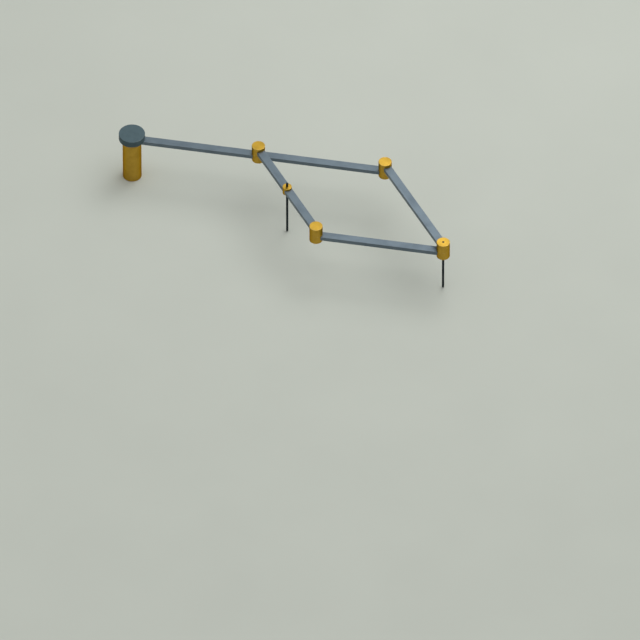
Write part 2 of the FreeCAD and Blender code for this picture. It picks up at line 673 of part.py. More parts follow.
head_cap = turned("head_cap", [
    (CAP_HOLLOW, "0"),
    ("(sizes.cap_radius - sizes.cap_edge)", "0"),
    ("sizes.cap_radius", "sizes.cap_edge"),
    ("sizes.cap_radius", f"({CAP_HEIGHT} - sizes.cap_edge)"),
    ("(sizes.cap_radius - sizes.cap_edge)", CAP_HEIGHT),
    ("0", CAP_HEIGHT),
    ("0", CAP_HOLLOW_HEIGHT),
    (CAP_HOLLOW, CAP_HOLLOW_HEIGHT),
])
window(head_cap, "head_cap", f"-{OVERHANG}", "-sizes.cut_past", "sizes.cap_lap")
cut_one_way(head_cap, FLOOR_PLANE, "cap_tapping", tapping,
            "(sizes.cap_screw_grip + sizes.tapping_depth)")
place(head_cap, SPOT_O, CAP_BOTTOM, LONG_TURN)
keep(head_cap, "head_cap")

screw_length = f"({HEAD_HEIGHT} + sizes.cap_screw_grip - sizes.cap_screw_sink)"
cap_screws = []
for number, quarter in enumerate((90, 180, 270), start=1):
    screw = turned(f"cap_screw_{number}", [
        ("0", "0"),
        (CAP_SCREW_HEAD, "0"),
        (CAP_SCREW_HEAD, "sizes.cap_screw_head_height"),
        ("sizes.cap_screw_radius", "sizes.cap_screw_head_height"),
        ("sizes.cap_screw_radius", screw_length),
        ("0", screw_length),
    ])
    turn = f"({LONG_TURN} + {quarter})"
    place(screw, stepped(SPOT_O, turn, CAP_SCREW_CIRCLE), f"({HEAD_BOTTOM} + sizes.cap_screw_sink)",
          turn)
    cap_screws.append(screw)
group("cap_screws", cap_screws)

flanged_bush("head_bush", SPOT_O, HEAD_BOTTOM, (HEAD_BUSH_BORE, HEAD_BUSH_RADIUS, HEAD_FLANGE),
             "sizes.head_flange_height",
             "(sizes.head_floor + sizes.arm_thickness + sizes.head_flange_height)", False)


# Arms: a tube and its blocks each, drilled for what passes at each pivot

pin_hole = "(sizes.pivot_radius + sizes.press_gap)"
bush_hole = f"({BUSH_RADIUS} + sizes.press_gap)"
collar_hole = f"({COLLAR_SLEEVE} + sizes.press_gap)"
sleeve_hole = f"({PENCIL_SLEEVE} + sizes.press_gap)"
sleeve_bush_hole = f"({SLEEVE_BUSH} + sizes.press_gap)"
reach = "sizes.plug_reach"

arm_tube("long_arm_tube", SPOT_O, LONG_TURN, LOWER_LEVEL, LONG_REACH,
         [("0", head_hole), ("sizes.root_pitch", pin_hole), (LONG_REACH, pin_hole)])
keep(arm_block("long_arm_head_plug", SPOT_O, LONG_TURN, LOWER_LEVEL, OVERHANG,
               "sizes.post_radius", head_hole), "long_arm_head_plug")
keep(arm_block("long_arm_mid_plug", SPOT_A, LONG_TURN, LOWER_LEVEL, reach, reach, pin_hole),
     "long_arm_mid_plug")
keep(arm_block("long_arm_end_plug", SPOT_B, LONG_TURN, LOWER_LEVEL, reach, OVERHANG, pin_hole),
     "long_arm_end_plug")

arm_tube("tracer_arm_tube", SPOT_A, SIDE_TURN, UPPER_LEVEL, "sizes.side_pitch",
         [("0", bush_hole), (TRACER_REACH, collar_hole), ("sizes.side_pitch", bush_hole)])
group("tracer_arm_end_plugs", [
    arm_block("tracer_plug_a", SPOT_A, SIDE_TURN, UPPER_LEVEL, OVERHANG, reach, bush_hole),
    arm_block("tracer_plug_c", SPOT_C, SIDE_TURN, UPPER_LEVEL, reach, OVERHANG, bush_hole),
])
keep(arm_block("tracer_arm_mid_plug", SPOT_P, SIDE_TURN, UPPER_LEVEL, reach, reach, collar_hole),
     "tracer_arm_mid_plug")

arm_tube("pencil_arm_tube", SPOT_B, SIDE_TURN, UPPER_LEVEL, "sizes.side_pitch",
         [("0", bush_hole), ("sizes.side_pitch", sleeve_hole)])
group("pencil_arm_end_plugs", [
    arm_block("pencil_plug_b", SPOT_B, SIDE_TURN, UPPER_LEVEL, OVERHANG, reach, bush_hole),
    arm_block("pencil_plug_d", SPOT_D, SIDE_TURN, UPPER_LEVEL, reach, OVERHANG, sleeve_hole),
])

arm_tube("link_arm_tube", SPOT_C, LONG_TURN, LOWER_LEVEL, "sizes.far_pitch",
         [("0", pin_hole), ("sizes.far_pitch", sleeve_bush_hole)])
group("link_arm_end_plugs", [
    arm_block("link_plug_c", SPOT_C, LONG_TURN, LOWER_LEVEL, OVERHANG, reach, pin_hole),
    arm_block("link_plug_d", SPOT_D, LONG_TURN, LOWER_LEVEL, reach, OVERHANG, sleeve_bush_hole),
])


# Barrels: a lower and an upper knuckle each, capped at both ends

thread_hole = f"({THREAD_RADIUS} + sizes.press_gap)"
recess = f"({BUSH_FLANGE} + sizes.drop_gap)"
hub = f"({recess} + sizes.hub_wall)"
wide_recess = f"({SLEEVE_BUSH_FLANGE} + sizes.drop_gap)"
wide_hub = f"({wide_recess} + sizes.hub_wall)"
long_back = f"({LONG_TURN} + 180)"
side_back = f"({SIDE_TURN} - 180)"

screwed = (pin_hole, thread_hole, None, hub)
bushed = (bush_hole, bush_hole, recess, hub)
sleeved = (sleeve_hole, sleeve_hole, None, wide_hub)
sleeve_bushed = (sleeve_bush_hole, sleeve_bush_hole, wide_recess, wide_hub)
knuckle("knuckle_a_lower", SPOT_A, LONG_TURN, False, *screwed, passing=True)
knuckle("knuckle_b_lower", SPOT_B, long_back, False, *screwed)
knuckle("knuckle_c_lower", SPOT_C, LONG_TURN, False, *screwed)
knuckle("knuckle_d_lower", SPOT_D, long_back, False, *sleeve_bushed)
knuckle("knuckle_a_upper", SPOT_A, SIDE_TURN, True, *bushed)
knuckle("knuckle_b_upper", SPOT_B, SIDE_TURN, True, *bushed)
knuckle("knuckle_c_upper", SPOT_C, side_back, True, *bushed)
knuckle("knuckle_d_upper", SPOT_D, side_back, True, *sleeved, clamped=True)

end_cap("top_cap_d", SPOT_D, True, ROD_BORE)
end_cap("bottom_cap_d", SPOT_D, False, "(sizes.rod_radius + sizes.rod_exit_gap)")

screw_tip = f"({LOWER_WEB} - sizes.nut_height - sizes.thread_tail)"
bush_foot = f"({SEAM_ROOF} - {FLANGE_PROUD})"
pivot_nuts = {}
for letter, spot in (("a", SPOT_A), ("b", SPOT_B), ("c", SPOT_C)):
    end_cap(f"top_cap_{letter}", spot, True)
    end_cap(f"bottom_cap_{letter}", spot, False)
    shoulder_screw(f"pivot_screw_{letter}", spot, LONG_TURN, screw_tip,
                   (THREAD_RADIUS, f"({LOWER_BOTTOM} - {screw_tip})"), "sizes.pivot_radius",
                   f"({UPPER_WEB} + sizes.thrust_gap - {screw_tip})", SCREW_HEAD,
                   "sizes.screw_head_height")
    flanged_bush(f"pivot_bush_{letter}", spot, bush_foot, (BUSH_BORE, BUSH_RADIUS, BUSH_FLANGE),
                 "sizes.flange_thickness", f"({UPPER_WEB} - {bush_foot})", True)
    nut = hex_nut(f"pivot_nut_{letter}", "sizes.nut_flats", "sizes.nut_height", THREAD_RADIUS)
    place(nut, spot, f"({LOWER_WEB} - sizes.nut_height)", LONG_TURN)
    pivot_nuts[letter] = nut
group("long_arm_pivot_nuts", [pivot_nuts["a"], pivot_nuts["b"]])
keep(pivot_nuts["c"], "pivot_nut_c")


# Barrel D: the hollow pivot that the pencil slides through, turning in a bush of its own

flanged_bush("pivot_bush_d", SPOT_D, LOWER_WEB, (SLEEVE_BUSH_BORE, SLEEVE_BUSH, SLEEVE_BUSH_FLANGE),
             "sizes.flange_thickness", f"({SEAM_FLOOR} + {FLANGE_PROUD} - {LOWER_WEB})", False)

ring_nut_foot = f"({LOWER_WEB} - sizes.thrust_gap - sizes.nut_height)"
ring_nut = disc("sleeve_ring_nut", RING_NUT, "sizes.nut_height", sleeve_hole)
place(ring_nut, SPOT_D, ring_nut_foot)
keep(ring_nut, "sleeve_ring_nut")

sleeve_foot = f"({ring_nut_foot} - sizes.thread_tail)"
sleeve_seat = f"({UPPER_WEB} - {sleeve_foot})"
sleeve_top = f"({BARREL_TOP} - sizes.joint_cap - sizes.thrust_gap - {sleeve_foot})"
pencil_sleeve = turned("pencil_sleeve", [
    (ROD_BORE, "0"),
    (PENCIL_SLEEVE, "0"),
    (PENCIL_SLEEVE, sleeve_seat),
    (SLEEVE_HEAD, sleeve_seat),
    (SLEEVE_HEAD, sleeve_top),
    (ROD_BORE, sleeve_top),
])
clamp_hole(pencil_sleeve, "pencil_sleeve", f"({PENCIL_CLAMP} - {sleeve_foot})")
place(pencil_sleeve, SPOT_D, sleeve_foot, SIDE_TURN)
keep(pencil_sleeve, "pencil_sleeve")

clamp_screw("pencil_clamp_screw", SPOT_D, SIDE_TURN, PENCIL_CLAMP, JOINT_RADIUS)


# Tracer: a collar round the arm, a sleeve through both, and a screw that holds the rod

collar_clamp = f"({COLLAR_HEIGHT} - sizes.collar_above / 2)"

tracer_collar = turned("tracer_collar", [
    (collar_hole, "0"),
    (f"({COLLAR_RADIUS} - sizes.brass_edge)", "0"),
    (COLLAR_RADIUS, "sizes.brass_edge"),
    (COLLAR_RADIUS, f"({COLLAR_HEIGHT} - sizes.brass_edge)"),
    (f"({COLLAR_RADIUS} - sizes.brass_edge)", COLLAR_HEIGHT),
    (collar_hole, COLLAR_HEIGHT),
])
window(tracer_collar, "tracer_collar", f"-{BEYOND}", "sizes.collar_below",
       "(sizes.collar_below + sizes.arm_thickness)")
clamp_hole(tracer_collar, "tracer_collar", collar_clamp)
place(tracer_collar, SPOT_P, COLLAR_BOTTOM, SIDE_TURN)
keep(tracer_collar, "tracer_collar")

tracer_sleeve = disc("tracer_sleeve", COLLAR_SLEEVE, COLLAR_HEIGHT, ROD_BORE)
clamp_hole(tracer_sleeve, "tracer_sleeve", collar_clamp)
place(tracer_sleeve, SPOT_P, COLLAR_BOTTOM, SIDE_TURN)
keep(tracer_sleeve, "tracer_sleeve")

clamp_screw("tracer_clamp_screw", SPOT_P, SIDE_TURN, f"({COLLAR_BOTTOM} + {collar_clamp})",
            COLLAR_RADIUS)

tracer_rod = turned("tracer_rod", [
    ("0", "0"),
    ("sizes.nose_radius", "0"),
    ("sizes.rod_radius", "sizes.nose_height"),
    ("sizes.rod_radius", f"({TRACER_LENGTH} - sizes.brass_edge)"),
    ("(sizes.rod_radius - sizes.brass_edge)", TRACER_LENGTH),
    ("0", TRACER_LENGTH),
])
place(tracer_rod, SPOT_P, "0")
keep(tracer_rod, "tracer_rod")


# Pencil: a lead in a slim holder, its top level with the barrel

lead_hole = "(sizes.lead_radius + sizes.press_gap)"
lead_room = "(sizes.lead_length + sizes.press_gap)"
lead_holder = turned("lead_holder", [
    (lead_hole, "sizes.lead_reach"),
    ("(sizes.lead_radius + sizes.holder_lip)", "sizes.lead_reach"),
    ("sizes.rod_radius", "(sizes.lead_reach + sizes.holder_taper)"),
    ("sizes.rod_radius", f"({PENCIL_LENGTH} - sizes.brass_edge)"),
    ("(sizes.rod_radius - sizes.brass_edge)", PENCIL_LENGTH),
    ("0", PENCIL_LENGTH),
    ("0", lead_room),
    (lead_hole, lead_room),
])
place(lead_holder, SPOT_D, "0")
keep(lead_holder, "lead_holder")

pencil_lead = disc("pencil_lead", "sizes.lead_radius", "sizes.lead_length")
place(pencil_lead, SPOT_D, "0")
keep(pencil_lead, "pencil_lead")

doc.recompute()

faults = []
for item in doc.Objects:
    if "Invalid" in item.State or "Error" in item.State:
        faults.append(f"{item.Label} failed")
for piece in nodes:
    if piece.Shape.isNull() or not piece.Shape.isValid() or not piece.Shape.Solids:
        faults.append(f"{piece.Label} has no valid solid")
if faults:
    raise RuntimeError("; ".join(faults))

os.makedirs("parts", exist_ok=True)
for piece in nodes:
    piece.Shape.exportStep(f"parts/{piece.Label}.step")
print(f"{len(nodes)} pieces written")
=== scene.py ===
import json
import math

import bmesh
import bpy
import numpy as np
from bpy.props import FloatProperty, FloatVectorProperty, PointerProperty
from bpy.types import Operator, Panel, PropertyGroup
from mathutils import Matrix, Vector


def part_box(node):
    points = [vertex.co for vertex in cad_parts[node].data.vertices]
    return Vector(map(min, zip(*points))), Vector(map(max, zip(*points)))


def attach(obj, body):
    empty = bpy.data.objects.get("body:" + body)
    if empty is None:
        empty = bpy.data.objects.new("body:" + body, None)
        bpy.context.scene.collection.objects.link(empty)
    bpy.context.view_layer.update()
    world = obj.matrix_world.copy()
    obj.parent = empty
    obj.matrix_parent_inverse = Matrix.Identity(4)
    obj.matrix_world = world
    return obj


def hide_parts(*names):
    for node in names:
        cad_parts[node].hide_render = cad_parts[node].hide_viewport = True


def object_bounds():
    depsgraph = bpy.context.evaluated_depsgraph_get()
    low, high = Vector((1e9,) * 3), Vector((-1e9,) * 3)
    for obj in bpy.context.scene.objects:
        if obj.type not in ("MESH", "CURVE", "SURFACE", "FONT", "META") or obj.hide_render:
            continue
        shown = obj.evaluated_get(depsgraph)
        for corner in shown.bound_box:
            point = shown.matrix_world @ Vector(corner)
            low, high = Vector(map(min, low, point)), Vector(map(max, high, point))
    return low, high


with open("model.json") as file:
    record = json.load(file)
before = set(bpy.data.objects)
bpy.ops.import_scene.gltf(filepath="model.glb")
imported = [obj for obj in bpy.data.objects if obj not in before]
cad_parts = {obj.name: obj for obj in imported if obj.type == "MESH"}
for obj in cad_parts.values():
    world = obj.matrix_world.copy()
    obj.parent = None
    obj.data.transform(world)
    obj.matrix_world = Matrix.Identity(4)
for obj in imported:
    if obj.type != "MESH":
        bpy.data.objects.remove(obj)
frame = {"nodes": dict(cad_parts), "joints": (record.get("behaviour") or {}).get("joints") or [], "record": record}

bl_info = {
    "name": "Drawing pantograph",
    "version": (1, 0, 0),
    "blender": (4, 5, 0),
    "location": "3D View > Sidebar > Pantograph",
    "description": "Dresses a drawing pantograph: turned brass, anodised arms and dark rods",
    "category": "Object",
}

CAD_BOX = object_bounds()
TURN = 2 * math.pi
SURFACE_MAP = "surface"
WEAR_LAYER = "wear"

# Edges that turn by more than this stay sharp
CREASE = math.radians(32)
# Points closer than this merge, and sides shorter than the second length are dropped
MERGE = 1e-7
EMPTY = 1e-8
# Points on the arc of a rounded edge
ARC_POINTS = 6
# Wear stops just short of the middle of a face
FACE_SHARE = 0.48
# Faces round a barrel or the post, the cap, a rod, the lead and a drilled hole
ROUND = 144
CAP_ROUND = 192
ROD_ROUND = 72
LEAD_ROUND = 48
HOLE_ROUND = 48
# How far a cutting shape runs on past the piece
CUT_PAST = 0.0015
# How many times as far out as its screw's middle a clamp screw's hole is drilled
CLAMP_REACH = 4

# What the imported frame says: the pivots, the headings of the arms and the round pieces


def pivot_of(joint):
    """Return where a hinge stands, seen from above."""
    return np.array(next(item["pos_m"][:2] for item in frame["joints"] if item["name"] == joint))


def middle_of(node):
    """Return the middle of a node, seen from above."""
    low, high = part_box(node)
    return np.array([(low.x + high.x) / 2, (low.y + high.y) / 2])


def radius_of(node):
    """Return the outside radius of a round upright node."""
    low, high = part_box(node)
    return (high.y - low.y) / 2


def bore_of(node):
    """Return the radius of a round upright node's narrowest hole."""
    points = np.zeros(3 * len(frame["nodes"][node].data.vertices), np.float32)
    frame["nodes"][node].data.vertices.foreach_get("co", points)
    return float(np.linalg.norm(points.reshape(-1, 3)[:, :2] - middle_of(node), axis=1).min())


def bottom_of(node):
    """Return a node's lowest height."""
    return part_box(node)[0].z


def top_of(node):
    """Return a node's greatest height."""
    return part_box(node)[1].z


def heights_of(node, margin=0):
    """Return a node's lowest and greatest height, moved apart by a margin."""
    return bottom_of(node) - margin, top_of(node) + margin


def round_size(node):
    """Return a round upright node's radius, lowest height and greatest height."""
    return radius_of(node), *heights_of(node)


PIVOTS = {
    "o": middle_of("post_shell"),
    "a": pivot_of("tracer_pivot"),
    "b": pivot_of("pencil_pivot"),
    "c": pivot_of("link_pivot"),
    "d": middle_of("lead_holder"),
    "p": middle_of("tracer_rod"),
}


def heading(start, end):
    """Return the unit direction from one pivot to another."""
    step = PIVOTS[end] - PIVOTS[start]
    return step / np.linalg.norm(step)


def left_of(way):
    """Return the direction a quarter turn to the left of another."""
    return np.array([-way[1], way[0]])


LONG_WAY = heading("o", "b")
SIDE_WAY = heading("a", "c")
ARM_ENDS = {
    "long_arm_tube": ("o", "b"),
    "tracer_arm_tube": ("a", "c"),
    "pencil_arm_tube": ("b", "d"),
    "link_arm_tube": ("c", "d"),
}


def arm_size(node):
    """Return an arm's length and width, worked out from the box round it and its heading."""
    way = abs(heading(*ARM_ENDS[node]))
    low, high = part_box(node)
    spread = np.array([high.x - low.x, high.y - low.y])
    share = way[0] ** 2 - way[1] ** 2
    return spread @ (way * (1, -1)) / share, spread @ (way[::-1] * (-1, 1)) / share


# The arm in the lower half and the arm in the upper half of each barrel
ARM_IN = {
    "a": ("long_arm_tube", "tracer_arm_tube"),
    "b": ("long_arm_tube", "pencil_arm_tube"),
    "c": ("link_arm_tube", "tracer_arm_tube"),
    "d": ("link_arm_tube", "pencil_arm_tube"),
}


def overhang(node):
    """Return how far an arm runs on past its end pivots."""
    start, end = ARM_ENDS[node]
    return (arm_size(node)[0] - np.linalg.norm(PIVOTS[end] - PIVOTS[start])) / 2


ARM_WIDTH = arm_size("long_arm_tube")[1]

# Sizes and colours that a user may change


def a_length(name, description, default, least=0.00001):
    """Return a setting that is a length in metres."""
    return a_number(name, description, default, min=least, unit="LENGTH")


def a_number(name, description, default, **limits):
    """Return a setting that is a plain number."""
    return FloatProperty(name=name, description=description, default=default, **limits)


def a_colour(name, description, default):
    """Return a setting that is a colour."""
    return FloatVectorProperty(name=name, description=description, default=default, min=0, max=1, size=3,
                               subtype="COLOR")


def an_angle(name, description, degrees):
    """Return a setting that is an angle, given in degrees."""
    return a_number(name, description, math.radians(degrees), subtype="ANGLE")


class PantographSizes(PropertyGroup):
    """Rounded edges, walls, clearances, tool marks and grain."""

    brass_edge: a_length("Brass edge", "Radius of the broken edges of the turned brass", 0.0006)
    rim_edge: a_length("Rim edge", "Radius of the edges at the joint round an end cap", 0.0001)
    rod_edge: a_length("Rod edge", "Radius of the edges of the rods", 0.0005)
    end_edge: a_length("Arm end edge", "Radius of the edges at an arm's ends", 0.0003)
    seam_edge: a_length("Seam edge", "Radius of the edges at the seam of a barrel", 0.0003)
    cap_edge: a_length("Cap edge", "Radius of the edges of the dark cap", 0.0012)
    arm_edge: a_length("Arm edge", "Radius of the long edges of an arm", 0.0005)
    arm_wall: a_length("Arm wall", "Wall of an arm's tube", 0.0010)
    wear_reach: a_length("Wear reach", "How far wear runs from an edge over the face beside it", 0.0009)
    ledge: a_length("Cap ledge", "Step that an end cap rests on", 0.0010)
    fit: a_length("Fit", "Clearance round a pressed fit and round an arm in its slot", 0.00003)
    drop: a_length("Drop fit", "Clearance round a flange that is dropped in", 0.0002)
    web: a_length("Web", "Brass between an arm and the hollow end of a barrel", 0.0015)
    cap_room: a_length("Cap room", "Room round the head's bush inside the dark cap", 0.0015)
    crown: a_length("Crown", "Top wall of the dark cap", 0.0040)
    screw_head: a_length("Screw head", "Height of the heads of the screws under the cap", 0.0024)
    counterbore: a_length("Counterbore", "Radius of the counterbores for those heads", 0.0037)
    screw_hole: a_length("Screw hole", "Radius of the holes for those screws", 0.00202)
    screw_room: a_length("Screw room", "Depth of those holes past the screws' ends", 0.0009)
    flange_seat: a_length("Flange seat", "Depth of the seat of a bush's flange in a seam face", 0.0010)
    lip: a_length("Tip lip", "Wall of the lead holder at its tip", 0.0006)
    tip: a_length("Tip height", "Height of the taper at the foot of a rod", 0.0030)
    nose: a_length("Nose", "Radius of the tracer's flat tip", 0.0012)
    tool_pitch: a_length("Tool pitch", "Spacing of the fine rings left by turning", 0.00022)
    grain_width: a_length("Grain width", "Width of the fine lines along an arm", 0.00016)


class PantographColours(PropertyGroup):
    """Base colours of the finishes, and of the floor."""

    brass: a_colour("Brass", "Satin turned brass", (0.57, 0.350, 0.058))
    tarnish: a_colour("Tarnish", "Brass that has been handled", (0.46, 0.275, 0.042))
    bright_brass: a_colour("Bright brass", "Brass at a worn edge", (0.80, 0.58, 0.24))
    glance_brass: a_colour("Glance brass", "Brass seen at a glancing angle", (0.48, 0.30, 0.07))
    arm: a_colour("Arm", "Blue-grey anodised aluminium", (0.155, 0.200, 0.245))
    arm_shade: a_colour("Arm shade", "Darker streaks of the anodising", (0.115, 0.152, 0.194))
    bare_aluminium: a_colour("Bare aluminium", "Aluminium where the finish is gone", (0.55, 0.57, 0.60))
    cap: a_colour("Cap", "Dark slate finish of the cap", (0.093, 0.140, 0.158))
    cap_wear: a_colour("Cap wear", "The cap's rim where hands have rubbed it", (0.20, 0.25, 0.27))
    rod: a_colour("Rod", "Darkened steel of the rods", (0.022, 0.034, 0.040))
    rod_wear: a_colour("Rod wear", "The rods' edges", (0.070, 0.085, 0.090))
    steel: a_colour("Steel", "Plain turned steel", (0.48, 0.49, 0.50))
    bronze: a_colour("Bronze", "Bearing bronze", (0.46, 0.25, 0.11))
    rubber: a_colour("Rubber", "Matt black rubber", (0.022, 0.022, 0.023))
    graphite: a_colour("Graphite", "The lead", (0.055, 0.055, 0.060))
    ballast: a_colour("Ballast", "Grey cast ballast", (0.22, 0.22, 0.24))
    floor: a_colour("Floor", "Pale floor", (0.56, 0.59, 0.53))


class PantographStage(PropertyGroup):
    """The camera and the lights."""

    azimuth: an_angle("Azimuth", "Turn of the camera round the instrument", 36.84)
    elevation: an_angle("Elevation", "Height of the camera above the horizon", 44.52)
    view_width: a_length("View width", "What the picture spans at the instrument", 1.6671, least=0.1)
    post_across: a_length("Post across", "From the picture's left edge to the foot of the post", 0.3430)
    post_down: a_length("Post down", "From the picture's top edge to the foot of the post", 0.4548)
    lens: a_number("Lens", "Focal length in millimetres, long, so that the view is nearly flat", 1200, min=50)
    key_strength: a_number("Key light", "Strength of the soft light from above", 1.05, min=0)
    key_spread: an_angle("Key spread", "How wide the soft light from above looks", 60)
    key_right: a_number("Key to the right", "Slope at which that light leans to the right", 0.35)
    key_back: a_number("Key to the back", "Slope at which that light leans away from the camera", 0.12)
    lamp_power: a_number("Lamp", "Power of the wide lamp behind, whose sheen lies on the tops", 13.2,
                         min=0, unit="POWER")
    lamp_size: a_length("Lamp size", "Width of that lamp", 1.4, least=0.1)
    lamp_distance: a_length("Lamp distance", "How far that lamp hangs from what it aims at", 3.0, least=0.5)
    lamp_right: a_length("Lamp to the right", "How far to the right of the pencil it aims", 0.4)
    lamp_front: a_length("Lamp to the front", "How far in front of the pencil it aims", 0.5)
    room_strength: a_number("Room light", "Strength of the room's light straight overhead", 1.0, min=0)
    backdrop: a_colour("Backdrop", "Colour of the room in the background", (0.52, 0.56, 0.48))


def sizes():
    """Return the sizes that the sidebar holds."""
    return bpy.context.scene.pantograph_sizes


def colours():
    """Return the colours that the sidebar holds."""
    return bpy.context.scene.pantograph_colours


def staging():
    """Return the settings of the camera and the lights that the sidebar holds."""
    return bpy.context.scene.pantograph_stage


def placed(name, data):
    """Return a new object that shows a mesh, a light or a camera in the scene."""
    thing = bpy.data.objects.new(name, data)
    bpy.context.scene.collection.objects.link(thing)
    return thing


# Materials, worked out by nodes

# The finishes' patterns: sizes and depths in metres, and strengths as shares of one
# Where most of a random pattern's values lie, and the same without the darkest
MOST = (0.3, 0.7)
UPPER = (0.35, 0.7)
# On turned pieces, how many fine rings a broad one spans
BROAD_RINGS = 9
BROAD_DEPTH = 0.00002
FINE_DEPTH = 0.000008
TURNED_SPECK = 0.0009
TURNED_SPECK_DEPTH = 0.000006
TURNED_WEAR = 0.007
HANDLED = 0.55
RING_SHADE = 0.22
EDGE_SHINE = 0.8
# Roughness that rings and patches add, and that rubbing takes off an edge
RING_ROUGHNESS = 0.07
PATCH_ROUGHNESS = 0.10
EDGE_POLISH = 0.12
# How far the grooves draw a highlight out along the rings
GROOVE_SHEEN = 0.2
# On the arms, the fine lines and the long streaks
LINE_LENGTH = 0.012
LINE_DEPTH = 0.000006
STREAK_LENGTH = 0.09
STREAK_WIDTH = 0.0012
STREAK_SHADE = 0.35
ARM_CLOUD = 0.035
CLOUD_SHADE = 0.55
ARM_SPECK = 0.0007
ARM_SPECK_DEPTH = 0.000005
ARM_WEAR = 0.006
BARE_SHARE = 0.35
# Width of the stretches that hands rub, and the wear that is left between them
HAND_WIDTH = 0.055
LEAST_RUBBED = 0.25
BLOCK_CLOUD = 0.012
FLOOR_CLOUD = 0.30
FLOOR_GRAIN = 0.004
FLOOR_DEPTH = 0.00004


def join(owner, source, target):
    """Link a socket to another one, or set that one to a plain value."""
    if isinstance(source, bpy.types.NodeSocket):
        owner.node_tree.links.new(source, target)
    else:
        target.default_value = source


def add_node(owner, kind, inputs=(), **settings):
    """Add a shader node to a material or to the world, with its settings and what goes into it."""
    node = owner.node_tree.nodes.new(kind)
    for name, value in settings.items():
        setattr(node, name, value)
    for name, value in dict(inputs).items():
        join(owner, value, node.inputs[name])
    return node


def new_material(name, metallic, roughness):
    """Return a new material and its main shader, with its plain values set."""
    material = bpy.data.materials.new(name)
    material.use_nodes = True
    shader = material.node_tree.nodes["Principled BSDF"]
    shader.inputs["Metallic"].default_value = metallic
    shader.inputs["Roughness"].default_value = roughness
    return material, shader


def object_place(material):
    """Return the place on the object, in metres."""
    return add_node(material, "ShaderNodeTexCoord").outputs["Object"]


def surface_place(material, stretch=(1, 1, 1)):
    """Return the place along and round a piece's own surface, in metres, stretched."""
    place = add_node(material, "ShaderNodeUVMap", uv_map=SURFACE_MAP).outputs["UV"]
    inputs = {"Vector": place, "Scale": stretch}
    return add_node(material, "ShaderNodeMapping", inputs, vector_type="POINT").outputs["Vector"]


def noise(material, place, size, detail=3, rough=0.5, dimensions="3D"):
    """Return a soft random pattern from 0 to 1 whose blotches have about a given size.

    In one dimension the place is a distance, and the pattern is one of rings or bands.
    """
    where = "W" if dimensions == "1D" else "Vector"
    inputs = {where: place, "Scale": 1 / size, "Detail": detail, "Roughness": rough}
    return add_node(material, "ShaderNodeTexNoise", inputs, noise_dimensions=dimensions).outputs["Fac"]


def lines_along(material, length, width):
    """Return a random pattern of lines that run lengthwise and are about so long and so wide."""
    place = surface_place(material, (1 / length, 1 / width, 1))
    return noise(material, place, 1, detail=2, dimensions="2D")


def spread(material, value, source, target=(0, 1)):
    """Return a value carried from one range to another, and held inside it."""
    names = ("Value", "From Min", "From Max", "To Min", "To Max")
    inputs = zip(names, (value, *source, *target))
    return add_node(material, "ShaderNodeMapRange", inputs, clamp=True).outputs["Result"]


def combined(owner, operation, first, second):
    """Return two values put together by an operation, each a plain number or a socket."""
    return add_node(owner, "ShaderNodeMath", {0: first, 1: second}, operation=operation).outputs["Value"]


def times(owner, first, second):
    """Return two values multiplied."""
    return combined(owner, "MULTIPLY", first, second)


def total(owner, first, second):
    """Return two values added."""
    return combined(owner, "ADD", first, second)


def blend_colours(material, share, first, second):
    """Return a colour between two, each a plain colour or a socket."""
    ends = [end if isinstance(end, bpy.types.NodeSocket) else (*end, 1) for end in (first, second)]
    inputs = {"Factor": share, 6: ends[0], 7: ends[1]}
    return add_node(material, "ShaderNodeMix", inputs, data_type="RGBA").outputs[2]


def worn(material, place, size):
    """Return how worn a spot is: the edges' own attribute, broken up by two random patterns."""
    edge = add_node(material, "ShaderNodeAttribute", attribute_name=WEAR_LAYER).outputs["Fac"]
    patches = spread(material, noise(material, place, size, detail=5, rough=0.62), (0.42, 0.72))
    hands = noise(material, object_place(material), HAND_WIDTH)
    rubbed = spread(material, hands, (0.35, 0.65), (LEAST_RUBBED, 1))
    return times(material, edge, times(material, patches, rubbed))


def set_relief(material, shader, layers):
    """Give a surface its relief: each layer is a pattern and its depth in metres."""
    below = {}
    for pattern, depth in layers:
        bump = add_node(material, "ShaderNodeBump", {"Height": pattern, "Distance": depth, **below})
        below = {"Normal": bump.outputs["Normal"]}
    join(material, below["Normal"], shader.inputs["Normal"])


